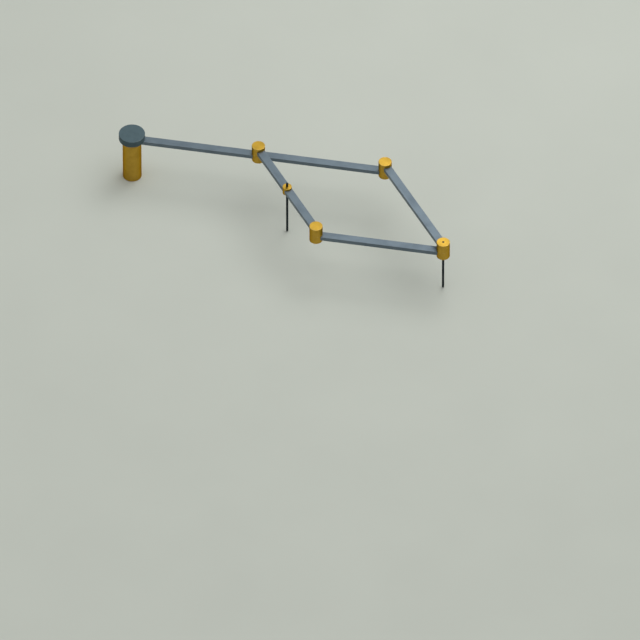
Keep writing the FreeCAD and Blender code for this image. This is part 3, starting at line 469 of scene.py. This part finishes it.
def turned_finish(name, base, shade, edge, metallic, roughness, patch, sheen):
    """Make the finish of a turned piece: rings, patches of shade, bright edges, fine scratches.

    The sheen is the colour that the metal keeps where it is seen at a glancing angle, and its
    strength where the surface is no bare metal.
    """
    material, shader = new_material(name, metallic, roughness)
    shader.inputs["Specular Tint"].default_value = (*sheen[0], 1)
    shader.inputs["Specular IOR Level"].default_value = sheen[1]
    place = object_place(material)
    along = add_node(material, "ShaderNodeSeparateXYZ", {"Vector": surface_place(material)}).outputs["X"]
    fine = noise(material, along, sizes().tool_pitch, detail=2, dimensions="1D")
    broad = noise(material, along, sizes().tool_pitch * BROAD_RINGS, detail=1, dimensions="1D")
    patches = noise(material, place, patch, detail=4)
    specks = noise(material, place, TURNED_SPECK, detail=2)
    handled = times(material, spread(material, patches, (0.40, 0.72)), HANDLED)
    dull = total(material, handled, times(material, spread(material, broad, MOST), RING_SHADE))
    rubbed = worn(material, place, TURNED_WEAR)
    colour = blend_colours(material, dull, base, shade)
    colour = blend_colours(material, times(material, rubbed, EDGE_SHINE), colour, edge)
    join(material, colour, shader.inputs["Base Color"])
    streaks = total(material, spread(material, fine, MOST, (0, RING_ROUGHNESS)),
                    spread(material, patches, UPPER, (0, PATCH_ROUGHNESS)))
    level = spread(material, specks, (0.4, 0.75), (roughness - 0.05, roughness + 0.03))
    gloss = combined(material, "SUBTRACT", total(material, streaks, level),
                     times(material, rubbed, EDGE_POLISH))
    join(material, gloss, shader.inputs["Roughness"])
    grooves = add_node(material, "ShaderNodeTangent", direction_type="UV_MAP", uv_map=SURFACE_MAP)
    join(material, grooves.outputs["Tangent"], shader.inputs["Tangent"])
    shader.inputs["Anisotropic"].default_value = GROOVE_SHEEN
    set_relief(material, shader, [(broad, BROAD_DEPTH), (fine, FINE_DEPTH), (specks, TURNED_SPECK_DEPTH)])
    return material


def arm_finish():
    """Make the anodised finish of the arms: fine lines lengthwise, cloudy colour, bare corners."""
    material, shader = new_material("arm_anodised", metallic=0.5, roughness=0.44)
    place = object_place(material)
    lines = lines_along(material, LINE_LENGTH, sizes().grain_width)
    streaks = lines_along(material, STREAK_LENGTH, STREAK_WIDTH)
    clouds = noise(material, place, ARM_CLOUD, detail=4)
    specks = noise(material, place, ARM_SPECK, detail=2)
    share = total(material, times(material, spread(material, clouds, (0.4, 0.65)), CLOUD_SHADE),
                  times(material, spread(material, streaks, (0.35, 0.65)), STREAK_SHADE))
    colour = blend_colours(material, share, colours().arm, colours().arm_shade)
    rubbed = worn(material, surface_place(material, (0.3, 1, 1)), ARM_WEAR)
    colour = blend_colours(material, times(material, rubbed, BARE_SHARE), colour, colours().bare_aluminium)
    join(material, colour, shader.inputs["Base Color"])
    gloss = total(material, spread(material, lines, MOST, (0.35, 0.46)),
                  spread(material, clouds, UPPER, (-0.02, 0.08)))
    join(material, gloss, shader.inputs["Roughness"])
    set_relief(material, shader, [(lines, LINE_DEPTH), (specks, ARM_SPECK_DEPTH)])
    return material


def block_finish(name, base, shade, roughness, metallic=1.0, grain=0.0005, depth=0.00001):
    """Make the finish of a piece inside: milled or cast metal, or rubber, cloudy and grained."""
    material, shader = new_material(name, metallic, roughness)
    place = object_place(material)
    clouds = noise(material, place, BLOCK_CLOUD, detail=4)
    fine = noise(material, place, grain, detail=3)
    colour = blend_colours(material, spread(material, clouds, (0.35, 0.68)), base, shade)
    join(material, colour, shader.inputs["Base Color"])
    gloss = total(material, spread(material, fine, MOST, (roughness - 0.06, roughness + 0.06)),
                  spread(material, clouds, UPPER, (-0.03, 0.05)))
    join(material, gloss, shader.inputs["Roughness"])
    set_relief(material, shader, [(fine, depth)])
    return material


def darker(colour, share):
    """Return a colour times a share."""
    return tuple(share * part for part in colour)


def brass_finish():
    """Return the satin turned brass."""
    hues = colours()
    return turned_finish("turned_brass", hues.brass, hues.tarnish, hues.bright_brass, metallic=1.0,
                         roughness=0.34, patch=0.016, sheen=(hues.glance_brass, 0.5))


def cap_finish():
    """Return the dark slate finish of the cap."""
    hues = colours()
    return turned_finish("dark_cap", hues.cap, darker(hues.cap, 0.80), hues.cap_wear, metallic=0.0,
                         roughness=0.46, patch=0.014, sheen=((1, 1, 1), 0.06))


def rod_finish():
    """Return the darkened steel of the rods."""
    hues = colours()
    return turned_finish("dark_rod", hues.rod, darker(hues.rod, 0.6), hues.rod_wear, metallic=0.4,
                         roughness=0.34, patch=0.010, sheen=(hues.rod_wear, 0.12))


def lead_finish():
    """Return the graphite of the lead."""
    hues = colours()
    return turned_finish("graphite", hues.graphite, darker(hues.graphite, 0.7), hues.graphite, metallic=0.2,
                         roughness=0.48, patch=0.003, sheen=((1, 1, 1), 0.5))


def inner_finish(name):
    """Return the finish of a kind of piece inside."""
    hues = colours()
    looks = {
        "carried_brass": {"base": hues.brass, "shade": hues.tarnish, "roughness": 0.38},
        "plain_steel": {"base": hues.steel, "shade": darker(hues.steel, 0.75), "roughness": 0.34,
                        "grain": 0.0006, "depth": 0.000008},
        "plain_aluminium": {"base": hues.bare_aluminium, "shade": darker(hues.bare_aluminium, 0.8),
                            "roughness": 0.42},
        "bearing_bronze": {"base": hues.bronze, "shade": darker(hues.bronze, 0.7), "roughness": 0.38},
        "ballast": {"base": hues.ballast, "shade": darker(hues.ballast, 0.7), "roughness": 0.6,
                    "metallic": 0.8, "grain": 0.0012, "depth": 0.00006},
        "foot_rubber": {"base": hues.rubber, "shade": darker(hues.rubber, 0.7), "roughness": 0.78,
                        "metallic": 0.0, "grain": 0.0004, "depth": 0.00003},
    }
    return block_finish(name, **looks[name])


FINISHES = {}


def finish_for(slot, carried=False):
    """Return the material for one of the record's slots, made once.

    A carried piece has no surface map, so it takes a finish that goes by the place alone.
    """
    makers = {
        "turned_brass": brass_finish,
        "arm_anodised": arm_finish,
        "dark_cap": cap_finish,
        "dark_rod": rod_finish,
        "graphite": lead_finish,
    }
    name = "carried_brass" if carried and slot == "turned_brass" else slot
    if name not in FINISHES:
        FINISHES[name] = makers[name]() if name in makers else inner_finish(name)
    return FINISHES[name]


def slot_of(node):
    """Return the record's material slot of a node."""
    return next(item["material_slot"] for item in frame["record"]["subparts"] if item["node"] == node)


def body_of(node):
    """Return the body that a node belongs to."""
    bodies = frame["record"]["behaviour"]["bodies"]
    return next(body for body, members in bodies.items() if node in members)


# Surfaces, worked out as whole arrays


def rounded(corners):
    """Return a closed section's points and their wear, with an arc at each rounded corner.

    A corner is (across, along, rounding). Its arc touches both sides: the centre lies on the line
    that halves the corner, and the arc's points turn evenly from one side to the other. Wear is 1
    on an arc and fades out over the faces beside it.
    """
    points = np.array([corner[:2] for corner in corners], float)
    back = np.roll(points, 1, axis=0) - points
    ahead = np.roll(points, -1, axis=0) - points
    steps = np.linspace(0, 1, ARC_POINTS)
    section = []
    wear = []
    for point, behind, before, corner in zip(points, back, ahead, corners):
        rounding = corner[2]
        if rounding == 0:
            section.append(point[None, :])
            wear.append([0])
            continue
        lengths = np.linalg.norm([behind, before], axis=1)
        sides = np.array([behind / lengths[0], before / lengths[1]])
        half = math.acos(sides[0] @ sides[1]) / 2
        touch = rounding / math.tan(half)
        centre = point + sides.sum(axis=0) / (2 * math.cos(half)) * rounding / math.sin(half)
        ends = (point + sides * touch - centre) / rounding
        sweep = math.pi - 2 * half
        arc = np.sin((1 - steps) * sweep)[:, None] * ends[0] + np.sin(steps * sweep)[:, None] * ends[1]
        reach = np.minimum(touch + sizes().wear_reach, FACE_SHARE * lengths)
        section += [(point + sides[0] * reach[0])[None, :], centre + rounding / math.sin(sweep) * arc,
                    (point + sides[1] * reach[1])[None, :]]
        wear += [[0], np.ones(len(steps)), [0]]
    return np.concatenate(section), np.concatenate(wear)


def lengths_along(points):
    """Return how far along a closed line each of its points lies, and the whole length."""
    steps = np.linalg.norm(np.roll(points, -1, axis=0) - points, axis=1)
    return np.concatenate([[0], np.cumsum(steps)])


def piece_from(node, grid, wear, along, girth):
    """Make a piece from a grid of points that closes round both ways, in place of a node.

    The surface map holds the distance along the rows and the distance round the columns.
    """
    rows, columns = grid.shape[:2]
    number = np.arange(rows * columns).reshape(rows, columns)
    after = np.roll(number, -1, axis=0)
    faces = np.stack([number, np.roll(number, -1, axis=1), np.roll(after, -1, axis=1), after], axis=-1)
    left, start = np.meshgrid(girth[:-1], along[:-1])
    right, end = np.meshgrid(girth[1:], along[1:])
    places = np.stack([start, left, start, right, end, right, end, left], axis=-1)
    mesh = bpy.data.meshes.new(node)
    mesh.from_pydata(grid.reshape(-1, 3).tolist(), [], faces.reshape(-1, 4).tolist())
    mesh.uv_layers.new(name=SURFACE_MAP).data.foreach_set("uv", places.astype(np.float32).ravel())
    layer = mesh.attributes.new(WEAR_LAYER, "FLOAT", "POINT")
    layer.data.foreach_set("value", wear.astype(np.float32).ravel())
    piece = placed(f"{node}_look", mesh)
    close_up(piece.data)
    slot = slot_of(node)
    piece.data.materials.append(finish_for(slot))
    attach(piece, body_of(node))
    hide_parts(node)
    return piece


def close_up(mesh):
    """Merge the points at the poles, drop empty faces, turn faces outwards and mark sharp edges."""
    work = bmesh.new()
    work.from_mesh(mesh)
    bmesh.ops.remove_doubles(work, verts=work.verts, dist=MERGE)
    bmesh.ops.dissolve_degenerate(work, edges=work.edges, dist=EMPTY)
    loose = [edge for edge in work.edges if not edge.link_faces]
    bmesh.ops.delete(work, geom=loose, context="EDGES")
    bmesh.ops.recalc_face_normals(work, faces=work.faces)
    work.to_mesh(mesh)
    work.free()
    mesh.shade_smooth()
    mesh.set_sharp_from_angle(angle=CREASE)


def turned(node, corners, columns=ROUND):
    """Turn a section of (radius, height, rounding) corners about a node's upright axis.

    A point of the surface is the node's middle plus the radius times the cosine and the sine of
    the angle, at the section's height. A section that touches the axis closes there.
    """
    section, wear = rounded(corners)
    centre = middle_of(node)
    angle = (np.arange(columns + 1) + 0.5) * TURN / columns
    across = section[:, :1]
    grid = np.stack(np.broadcast_arrays(centre[0] + across * np.cos(angle[:-1]),
                                        centre[1] + across * np.sin(angle[:-1]), section[:, 1:]), axis=-1)
    wear = np.broadcast_to(wear[:, None], grid.shape[:2])
    return piece_from(node, grid, wear, lengths_along(section), section[:, 0].max() * angle)


def drawn_arm(node):
    """Draw an arm's tube along its heading.

    A point is the tube's near end plus a distance along the heading, plus a place on a rectangle
    with rounded corners that shrinks by an inset. Distance and inset together run round the wall:
    out along the outside and back along the inside.
    """
    way = heading(*ARM_ENDS[node])
    low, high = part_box(node)
    length, width = arm_size(node)
    wall = sizes().arm_wall
    edge = sizes().end_edge
    section, end_wear = rounded([(0, 0, edge), (0, length, edge), (wall, length, 0), (wall, 0, 0)])
    rounding = sizes().arm_edge
    half = np.array([width, high.z - low.z]) / 2
    turns = np.array([(0, -1), (1, -1), (1, 1), (-1, 1), (-1, -1)]) * half
    loop, long_wear = rounded([(*turns[0], 0), *((*corner, rounding) for corner in turns[1:])])
    inset = section[:, :1, None]
    pull = 1 - inset / half
    ring = loop[None, :, :] * pull
    near = np.array([(low.x + high.x) / 2, (low.y + high.y) / 2]) - way * length / 2
    distance = section[:, 1:]
    grid = np.stack([near[0] + way[0] * distance - way[1] * ring[..., 0],
                     near[1] + way[1] * distance + way[0] * ring[..., 0],
                     (low.z + high.z) / 2 + ring[..., 1]], axis=-1)
    wear = np.maximum(end_wear[:, None], long_wear[None, :] * (inset[..., 0] < wall / 2))
    return piece_from(node, grid, wear, lengths_along(section), lengths_along(loop))


def cutter(grid):
    """Return a closed shape for cutting, from a grid that closes round its columns and is capped."""
    rows, columns = grid.shape[:2]
    number = np.arange(rows * columns).reshape(rows, columns)
    beside = np.roll(number, -1, axis=1)
    faces = np.stack([number[:-1], beside[:-1], beside[1:], number[1:]], axis=-1).reshape(-1, 4).tolist()
    faces += [number[0].tolist(), number[-1].tolist()]
    mesh = bpy.data.meshes.new("cutter")
    mesh.from_pydata(grid.reshape(-1, 3).tolist(), [], faces)
    work = bmesh.new()
    work.from_mesh(mesh)
    bmesh.ops.recalc_face_normals(work, faces=work.faces)
    work.to_mesh(mesh)
    work.free()
    return placed("cutter", mesh)


def slot_shape(centre, way, reach, heights):
    """Return the shape of an arm's seat: a box along a heading, as wide as the arm and its fit."""
    side = left_of(way) * (ARM_WIDTH / 2 + sizes().fit)
    ends = np.array(reach)[:, None] * way
    outline = np.array([ends[0] - side, ends[1] - side, ends[1] + side, ends[0] + side]) + centre
    return cutter(np.stack([np.column_stack([outline, np.full(4, height)]) for height in heights]))


def drill_shape(start, end, radius):
    """Return the shape of a drilled hole: circles at both ends of a line, square to it."""
    line = np.array(end, float) - np.array(start, float)
    line /= np.linalg.norm(line)
    first = np.cross(line, (0, 0, 1) if abs(line[2]) < 0.5 else (1, 0, 0))
    first /= np.linalg.norm(first)
    second = np.cross(line, first)
    angle = np.linspace(0, TURN, HOLE_ROUND, endpoint=False)[:, None]
    circle = radius * (np.cos(angle) * first + np.sin(angle) * second)
    return cutter(np.stack([circle + start, circle + end]))


def upright(centre, radius, heights):
    """Return the shape of an upright drilled hole."""
    return drill_shape((*centre, heights[0]), (*centre, heights[1]), radius)


def cut(piece, shapes):
    """Cut shapes out of a piece, for good, and clear them away."""
    for number, shape in enumerate(shapes):
        step = piece.modifiers.new(f"cut_{number}", "BOOLEAN")
        step.operation = "DIFFERENCE"
        step.solver = "EXACT"
        step.object = shape
    bpy.context.view_layer.update()
    drawn = piece.evaluated_get(bpy.context.evaluated_depsgraph_get())
    mesh = bpy.data.meshes.new_from_object(drawn, preserve_all_data_layers=True,
                                           depsgraph=bpy.context.evaluated_depsgraph_get())
    if len(mesh.polygons) == 0:
        raise RuntimeError(f"nothing is left of {piece.name} after cutting")
    piece.modifiers.clear()
    piece.data = mesh
    mesh.set_sharp_from_angle(angle=CREASE)
    for shape in shapes:
        bpy.data.objects.remove(shape)


# The pieces


def make_post():
    """Turn the post's shell: a tall cup, open below, with a hole for the spindle in its top."""
    node = "post_shell"
    edge = sizes().brass_edge
    radius, low, high = round_size(node)
    hole = bore_of(node)
    bore = radius_of("ballast_core") + sizes().fit
    deck = top_of("ballast_core")
    turned(node, [(bore, low, 0), (radius, low, edge / 2), (radius, high, edge), (hole, high, 0),
                  (hole, deck, 0), (bore, deck, 0)])


def make_head():
    """Turn the swivel head and cut the long arm's seat and the screws' counterbores into it."""
    node = "swivel_head"
    edge = sizes().brass_edge
    radius, low, high = round_size(node)
    hole = bore_of(node)
    head = turned(node, [(hole, low, 0), (radius, low, edge), (radius, high, edge / 3), (hole, high, 0)])
    seat = (bottom_of("long_arm_tube") - sizes().fit, 2 * high)
    shapes = [slot_shape(PIVOTS["o"], LONG_WAY, (-overhang("long_arm_tube"), 2 * radius), seat)]
    sink = bottom_of("cap_screws") + sizes().screw_head
    for spot in cap_screw_spots():
        shapes.append(upright(spot, sizes().counterbore, (low - CUT_PAST, sink)))
        shapes.append(upright(spot, sizes().screw_hole, (low - CUT_PAST, 2 * high)))
    cut(head, shapes)


def cap_screw_spots():
    """Return where the three cap screws stand: beside the long arm, and behind the pivot."""
    across = ARM_WIDTH / 4 + radius_of("swivel_head") / 2
    side = left_of(LONG_WAY)
    return [side * across, -side * across, -LONG_WAY * across]


def make_cap():
    """Turn the dark cap, hollow below, and cut the long arm's seat and the screws' holes into it."""
    node = "head_cap"
    edge = sizes().cap_edge
    radius, low, high = round_size(node)
    hollow = radius_of("head_bush") + sizes().cap_room
    roof = high - sizes().crown
    cap = turned(node, [(0, roof, 0), (hollow, roof, 0), (hollow, low, 0), (radius, low, edge / 2),
                        (radius, high, edge), (0, high, 0)], columns=CAP_ROUND)
    seat = (low - CUT_PAST, top_of("long_arm_tube") + sizes().fit)
    shapes = [slot_shape(PIVOTS["o"], LONG_WAY, (-overhang("long_arm_tube"), 2 * radius), seat)]
    depth = top_of("cap_screws") + sizes().screw_room
    for spot in cap_screw_spots():
        shapes.append(upright(spot, sizes().screw_hole, (low - CUT_PAST, depth)))
    cut(cap, shapes)


def make_arm(node, holes):
    """Draw one arm and drill its pivot holes, given as (pivot, radius)."""
    heights = heights_of(node, CUT_PAST)
    cut(drawn_arm(node), [upright(PIVOTS[letter], radius + sizes().fit, heights) for letter, radius in holes])


def make_knuckle(letter, upper, way, passing=False):
    """Turn half a barrel, hollow and open at its capped end, and cut its arm's seat into it."""
    node = f"knuckle_{letter}_{'upper' if upper else 'lower'}"
    cap = f"{'top' if upper else 'bottom'}_cap_{letter}"
    arm_node = ARM_IN[letter][upper]
    sign = 1 if upper else -1
    seam, end = heights_of(node)[::sign]
    seat = heights_of(cap)[::sign][0]
    arm_end = heights_of(arm_node)[::sign][1]
    web = arm_end + sign * sizes().web
    radius = radius_of(node)
    recess = radius_of(cap) + sizes().fit
    hollow = recess - sizes().ledge
    bore = bore_of(node)
    edge = sizes().brass_edge
    corners = [(bore, seam, 0), (radius, seam, sizes().seam_edge), (radius, end, edge),
               (recess, end, sizes().rim_edge), (recess, seat, 0), (hollow, seat, 0), (hollow, web, 0),
               (bore, web, 0)]
    bush = f"pivot_bush_{letter}"
    flange = radius_of(bush) + sizes().drop
    if upper != (letter == "d"):
        depth = seam + sign * sizes().flange_seat
        corners[:1] = [(bore, depth, 0), (flange, depth, 0), (flange, seam, 0)]
    elif letter != "d":
        pin = bore_of(bush)
        corners[:1] = [(bore, arm_end, 0), (pin, arm_end, 0), (pin, seam, 0)]
    knuckle = turned(node, corners)
    back = 2 * radius if passing else overhang(arm_node)
    shapes = [slot_shape(PIVOTS[letter], way, (-back, 2 * radius), heights_of(arm_node, sizes().fit))]
    if node == "knuckle_d_upper":
        shapes.append(clamp_hole("pencil_clamp_screw", letter))
    cut(knuckle, shapes)


def clamp_hole(screw, letter):
    """Return the shape of a clamp screw's hole, from the rod's axis well out past the brass."""
    low, high = heights_of(screw)
    start = np.array([*PIVOTS[letter], (low + high) / 2])
    screw_place = np.array([*middle_of(screw), (low + high) / 2])
    return drill_shape(start, start + CLAMP_REACH * (screw_place - start), (high - low) / 2 + sizes().fit)


def make_end_cap(node, upper):
    """Turn the disc that closes a barrel's end, drilled where the pencil passes."""
    radius = radius_of(node)
    inner, outer = heights_of(node)[::1 if upper else -1]
    hole = bore_of(node) if node.endswith("_d") else 0
    turned(node, [(hole, inner, 0), (radius, inner, 0), (radius, outer, sizes().rim_edge), (hole, outer, 0)])


def make_collar():
    """Turn the tracer's collar, cut the arm's seat and drill the clamp screw's hole."""
    node = "tracer_collar"
    edge = sizes().brass_edge
    radius, low, high = round_size(node)
    bore = radius_of("tracer_sleeve") + sizes().fit
    collar = turned(node, [(bore, low, 0), (radius, low, edge), (radius, high, edge), (bore, high, 0)])
    seat = heights_of("tracer_arm_tube", sizes().fit)
    cut(collar, [slot_shape(PIVOTS["p"], SIDE_WAY, (-2 * radius, 2 * radius), seat),
                 clamp_hole("tracer_clamp_screw", "p")])


def make_sleeve():
    """Turn the sleeve that the tracer slides in, and drill the clamp screw's hole."""
    node = "tracer_sleeve"
    radius, low, high = round_size(node)
    bore = bore_of(node)
    rim = sizes().rim_edge
    sleeve = turned(node, [(bore, low, rim), (radius, low, rim), (radius, high, rim), (bore, high, rim)],
                    columns=ROD_ROUND)
    cut(sleeve, [clamp_hole("tracer_clamp_screw", "p")])


def make_rod():
    """Turn the tracer: a rod with a blunt tapered nose."""
    node = "tracer_rod"
    radius, low, high = round_size(node)
    edge = sizes().rod_edge
    turned(node, [(0, low, 0), (sizes().nose, low, edge), (radius, low + sizes().tip, edge),
                  (radius, high, edge), (0, high, 0)], columns=ROD_ROUND)


def make_holder():
    """Turn the lead's holder: a rod bored from below, with a tapered tip."""
    node = "lead_holder"
    radius, low, high = round_size(node)
    bore = radius_of("pencil_lead") + sizes().fit
    roof = top_of("pencil_lead") + sizes().fit
    edge = sizes().rod_edge
    turned(node, [(0, roof, 0), (bore, roof, 0), (bore, low, 0), (bore + sizes().lip, low, edge / 3),
                  (radius, low + sizes().tip, edge), (radius, high, edge), (0, high, 0)], columns=ROD_ROUND)


def make_lead():
    """Turn the lead, its writing end rounded by use."""
    node = "pencil_lead"
    radius, low, high = round_size(node)
    turned(node, [(0, low, 0), (radius, low, sizes().rod_edge), (radius, high, 0), (0, high, 0)],
           columns=LEAD_ROUND)


# Operators, one for each piece or group of like pieces


class PANTOGRAPH_OT_post(Operator):
    """Turn the post's brass shell"""
    bl_idname = "pantograph.post"
    bl_label = "Post"

    def execute(self, context):
        make_post()
        return {"FINISHED"}


class PANTOGRAPH_OT_head(Operator):
    """Turn the swivel head and the dark cap on it"""
    bl_idname = "pantograph.head"
    bl_label = "Swivel head and cap"

    def execute(self, context):
        make_head()
        make_cap()
        return {"FINISHED"}


class PANTOGRAPH_OT_arms(Operator):
    """Draw the four arms"""
    bl_idname = "pantograph.arms"
    bl_label = "Arms"

    def execute(self, context):
        pin, bush = bore_of("pivot_bush_a"), bore_of("knuckle_a_upper")
        make_arm("long_arm_tube", [("o", bore_of("swivel_head")), ("a", pin), ("b", pin)])
        make_arm("tracer_arm_tube", [("a", bush), ("p", radius_of("tracer_sleeve")), ("c", bush)])
        make_arm("pencil_arm_tube", [("b", bush), ("d", bore_of("knuckle_d_upper"))])
        make_arm("link_arm_tube", [("c", pin), ("d", bore_of("knuckle_d_lower"))])
        return {"FINISHED"}


class PANTOGRAPH_OT_barrels(Operator):
    """Turn the upper and lower halves of the four barrels"""
    bl_idname = "pantograph.barrels"
    bl_label = "Barrels"

    def execute(self, context):
        for letter, sign in zip("abcd", (1, -1, 1, -1)):
            make_knuckle(letter, False, sign * LONG_WAY, passing=letter == "a")
        for letter, sign in zip("abcd", (1, 1, -1, -1)):
            make_knuckle(letter, True, sign * SIDE_WAY)
        return {"FINISHED"}


class PANTOGRAPH_OT_end_caps(Operator):
    """Turn the discs that close the barrels"""
    bl_idname = "pantograph.end_caps"
    bl_label = "End caps"

    def execute(self, context):
        for letter in "abcd":
            make_end_cap(f"top_cap_{letter}", True)
            make_end_cap(f"bottom_cap_{letter}", False)
        return {"FINISHED"}


class PANTOGRAPH_OT_tracer(Operator):
    """Turn the tracer, its sleeve and its collar"""
    bl_idname = "pantograph.tracer"
    bl_label = "Tracer"

    def execute(self, context):
        make_collar()
        make_sleeve()
        make_rod()
        return {"FINISHED"}


class PANTOGRAPH_OT_pencil(Operator):
    """Turn the lead and its holder"""
    bl_idname = "pantograph.pencil"
    bl_label = "Pencil"

    def execute(self, context):
        make_holder()
        make_lead()
        return {"FINISHED"}


class PANTOGRAPH_OT_inner_pieces(Operator):
    """Give the pieces inside their finishes"""
    bl_idname = "pantograph.inner_pieces"
    bl_label = "Inner pieces"

    def execute(self, context):
        for name, node in frame["nodes"].items():
            if not node.hide_render:
                for place in node.material_slots:
                    place.material = finish_for(slot_of(name), carried=True)
        return {"FINISHED"}


class PANTOGRAPH_OT_stage(Operator):
    """Set the floor, the lights and the camera"""
    bl_idname = "pantograph.stage"
    bl_label = "Floor, lights and camera"

    def execute(self, context):
        make_floor()
        make_lights()
        make_room()
        make_camera()
        context.scene.view_settings.view_transform = "Standard"
        return {"FINISHED"}


# The stage


def make_floor():
    """Lay a wide pale floor just under the foot of the instrument."""
    reach, gap = 14.0, 0.0002
    corners = np.array([(-1, -1), (1, -1), (1, 1), (-1, 1)]) * reach
    mesh = bpy.data.meshes.new("floor")
    mesh.from_pydata(np.column_stack([corners, np.full(4, CAD_BOX[0].z - gap)]).tolist(), [],
                     [(0, 1, 2, 3)])
    floor = placed("floor", mesh)
    material, shader = new_material("floor_finish", metallic=0.0, roughness=0.9)
    clouds = noise(material, object_place(material), FLOOR_CLOUD, detail=5)
    grain = noise(material, object_place(material), FLOOR_GRAIN, detail=3)
    shade = spread(material, clouds, MOST)
    colour = blend_colours(material, shade, colours().floor, darker(colours().floor, 0.97))
    join(material, colour, shader.inputs["Base Color"])
    set_relief(material, shader, [(grain, FLOOR_DEPTH)])
    mesh.materials.append(material)


def make_lights():
    """Hang a wide soft light above, and a wide lamp where the tops mirror it to the camera."""
    stage = staging()
    right, ahead, _ = camera_axes()
    back = Vector((ahead.x, ahead.y, 0)).normalized()
    key = bpy.data.lights.new("key", "SUN")
    key.energy = stage.key_strength
    key.angle = stage.key_spread
    high = Vector((0, 0, 1)) + right * stage.key_right + back * stage.key_back
    aim(placed("key", key), high, -high)
    lamp = bpy.data.lights.new("lamp", "AREA")
    lamp.energy = stage.lamp_power
    lamp.size = stage.lamp_size
    mirrored = Vector((ahead.x, ahead.y, -ahead.z)) * stage.lamp_distance
    target = Vector((*PIVOTS["d"], CAD_BOX[1].z)) + right * stage.lamp_right - back * stage.lamp_front
    aim(placed("lamp", lamp), target + mirrored, -mirrored)


def aim(thing, place, way):
    """Put a light or a camera at a place and point it along a direction."""
    thing.location = place
    thing.rotation_mode = "QUATERNION"
    thing.rotation_quaternion = way.to_track_quat("-Z", "Y")


def overhead(world, strength):
    """Return a strength that grows with the square of the height looked at: none at the horizon."""
    place = add_node(world, "ShaderNodeTexCoord").outputs["Generated"]
    height = add_node(world, "ShaderNodeSeparateXYZ", {"Vector": place}).outputs["Z"]
    above = combined(world, "MAXIMUM", height, 0)
    return times(world, times(world, above, above), strength)


def make_room():
    """Light the room softly from above, and show a pale background to the camera and to metal."""
    stage = staging()
    world = bpy.data.worlds.new("room")
    world.use_nodes = True
    light = world.node_tree.nodes["Background"]
    light.inputs["Color"].default_value = (1, 1, 1, 1)
    join(world, overhead(world, stage.room_strength), light.inputs["Strength"])
    backdrop = add_node(world, "ShaderNodeBackground", {"Color": (*stage.backdrop, 1)})
    rays = add_node(world, "ShaderNodeLightPath")
    seen = rays.outputs["Is Camera Ray"]
    for name in ("Is Glossy Ray", "Is Transmission Ray"):
        seen = combined(world, "MAXIMUM", seen, rays.outputs[name])
    inputs = {"Fac": seen, 1: light.outputs["Background"], 2: backdrop.outputs["Background"]}
    choice = add_node(world, "ShaderNodeMixShader", inputs)
    join(world, choice.outputs["Shader"], world.node_tree.nodes["World Output"].inputs["Surface"])
    bpy.context.scene.world = world


def camera_axes():
    """Return the camera's right, ahead and up directions."""
    stage = staging()
    turn, rise = stage.azimuth, stage.elevation
    right = Vector((math.cos(turn), math.sin(turn), 0))
    ahead = Vector((-math.sin(turn) * math.cos(rise), math.cos(turn) * math.cos(rise), -math.sin(rise)))
    return right, ahead, right.cross(ahead)


def make_camera():
    """Place the camera far away at the photograph's angle, so that the view is nearly flat."""
    stage = staging()
    right, ahead, up = camera_axes()
    lens = bpy.data.cameras.new("camera")
    lens.lens = stage.lens
    distance = stage.view_width * lens.lens / lens.sensor_width
    middle = (CAD_BOX[0] + CAD_BOX[1]) / 2
    half = stage.view_width / 2
    centre = right * (half - stage.post_across) - up * (half - stage.post_down) + ahead * middle.dot(ahead)
    lens.clip_start = distance / 100
    lens.clip_end = distance * 4
    camera = placed("camera", lens)
    aim(camera, centre - ahead * distance, ahead)
    bpy.context.scene.camera = camera


# The sidebar


class PANTOGRAPH_PT_panel(Panel):
    """List the settings and the steps in the 3D view's sidebar"""
    bl_idname = "PANTOGRAPH_PT_panel"
    bl_label = "Pantograph"
    bl_space_type = "VIEW_3D"
    bl_region_type = "UI"
    bl_category = "Pantograph"

    def draw(self, context):
        for group in ("pantograph_sizes", "pantograph_colours", "pantograph_stage"):
            settings = getattr(context.scene, group)
            box = self.layout.box()
            for name in settings.__annotations__:
                box.prop(settings, name)
        for step in STEPS:
            self.layout.operator(step.bl_idname)


STEPS = (
    PANTOGRAPH_OT_post,
    PANTOGRAPH_OT_head,
    PANTOGRAPH_OT_arms,
    PANTOGRAPH_OT_barrels,
    PANTOGRAPH_OT_end_caps,
    PANTOGRAPH_OT_tracer,
    PANTOGRAPH_OT_pencil,
    PANTOGRAPH_OT_inner_pieces,
    PANTOGRAPH_OT_stage,
)
GROUPS = {
    "pantograph_sizes": PantographSizes,
    "pantograph_colours": PantographColours,
    "pantograph_stage": PantographStage,
}


def register():
    """Register the classes and hang the settings on the scene."""
    for kind in (*GROUPS.values(), *STEPS, PANTOGRAPH_PT_panel):
        bpy.utils.register_class(kind)
    for name, group in GROUPS.items():
        setattr(bpy.types.Scene, name, PointerProperty(type=group))


def unregister():
    """Take the settings off the scene and unregister the classes."""
    for name in GROUPS:
        delattr(bpy.types.Scene, name)
    for kind in reversed((*GROUPS.values(), *STEPS, PANTOGRAPH_PT_panel)):
        bpy.utils.unregister_class(kind)


def main():
    """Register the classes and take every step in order."""
    register()
    bpy.ops.pantograph.post()
    bpy.ops.pantograph.head()
    bpy.ops.pantograph.arms()
    bpy.ops.pantograph.barrels()
    bpy.ops.pantograph.end_caps()
    bpy.ops.pantograph.tracer()
    bpy.ops.pantograph.pencil()
    bpy.ops.pantograph.inner_pieces()
    bpy.ops.pantograph.stage()


if __name__ == "__main__":
    main()
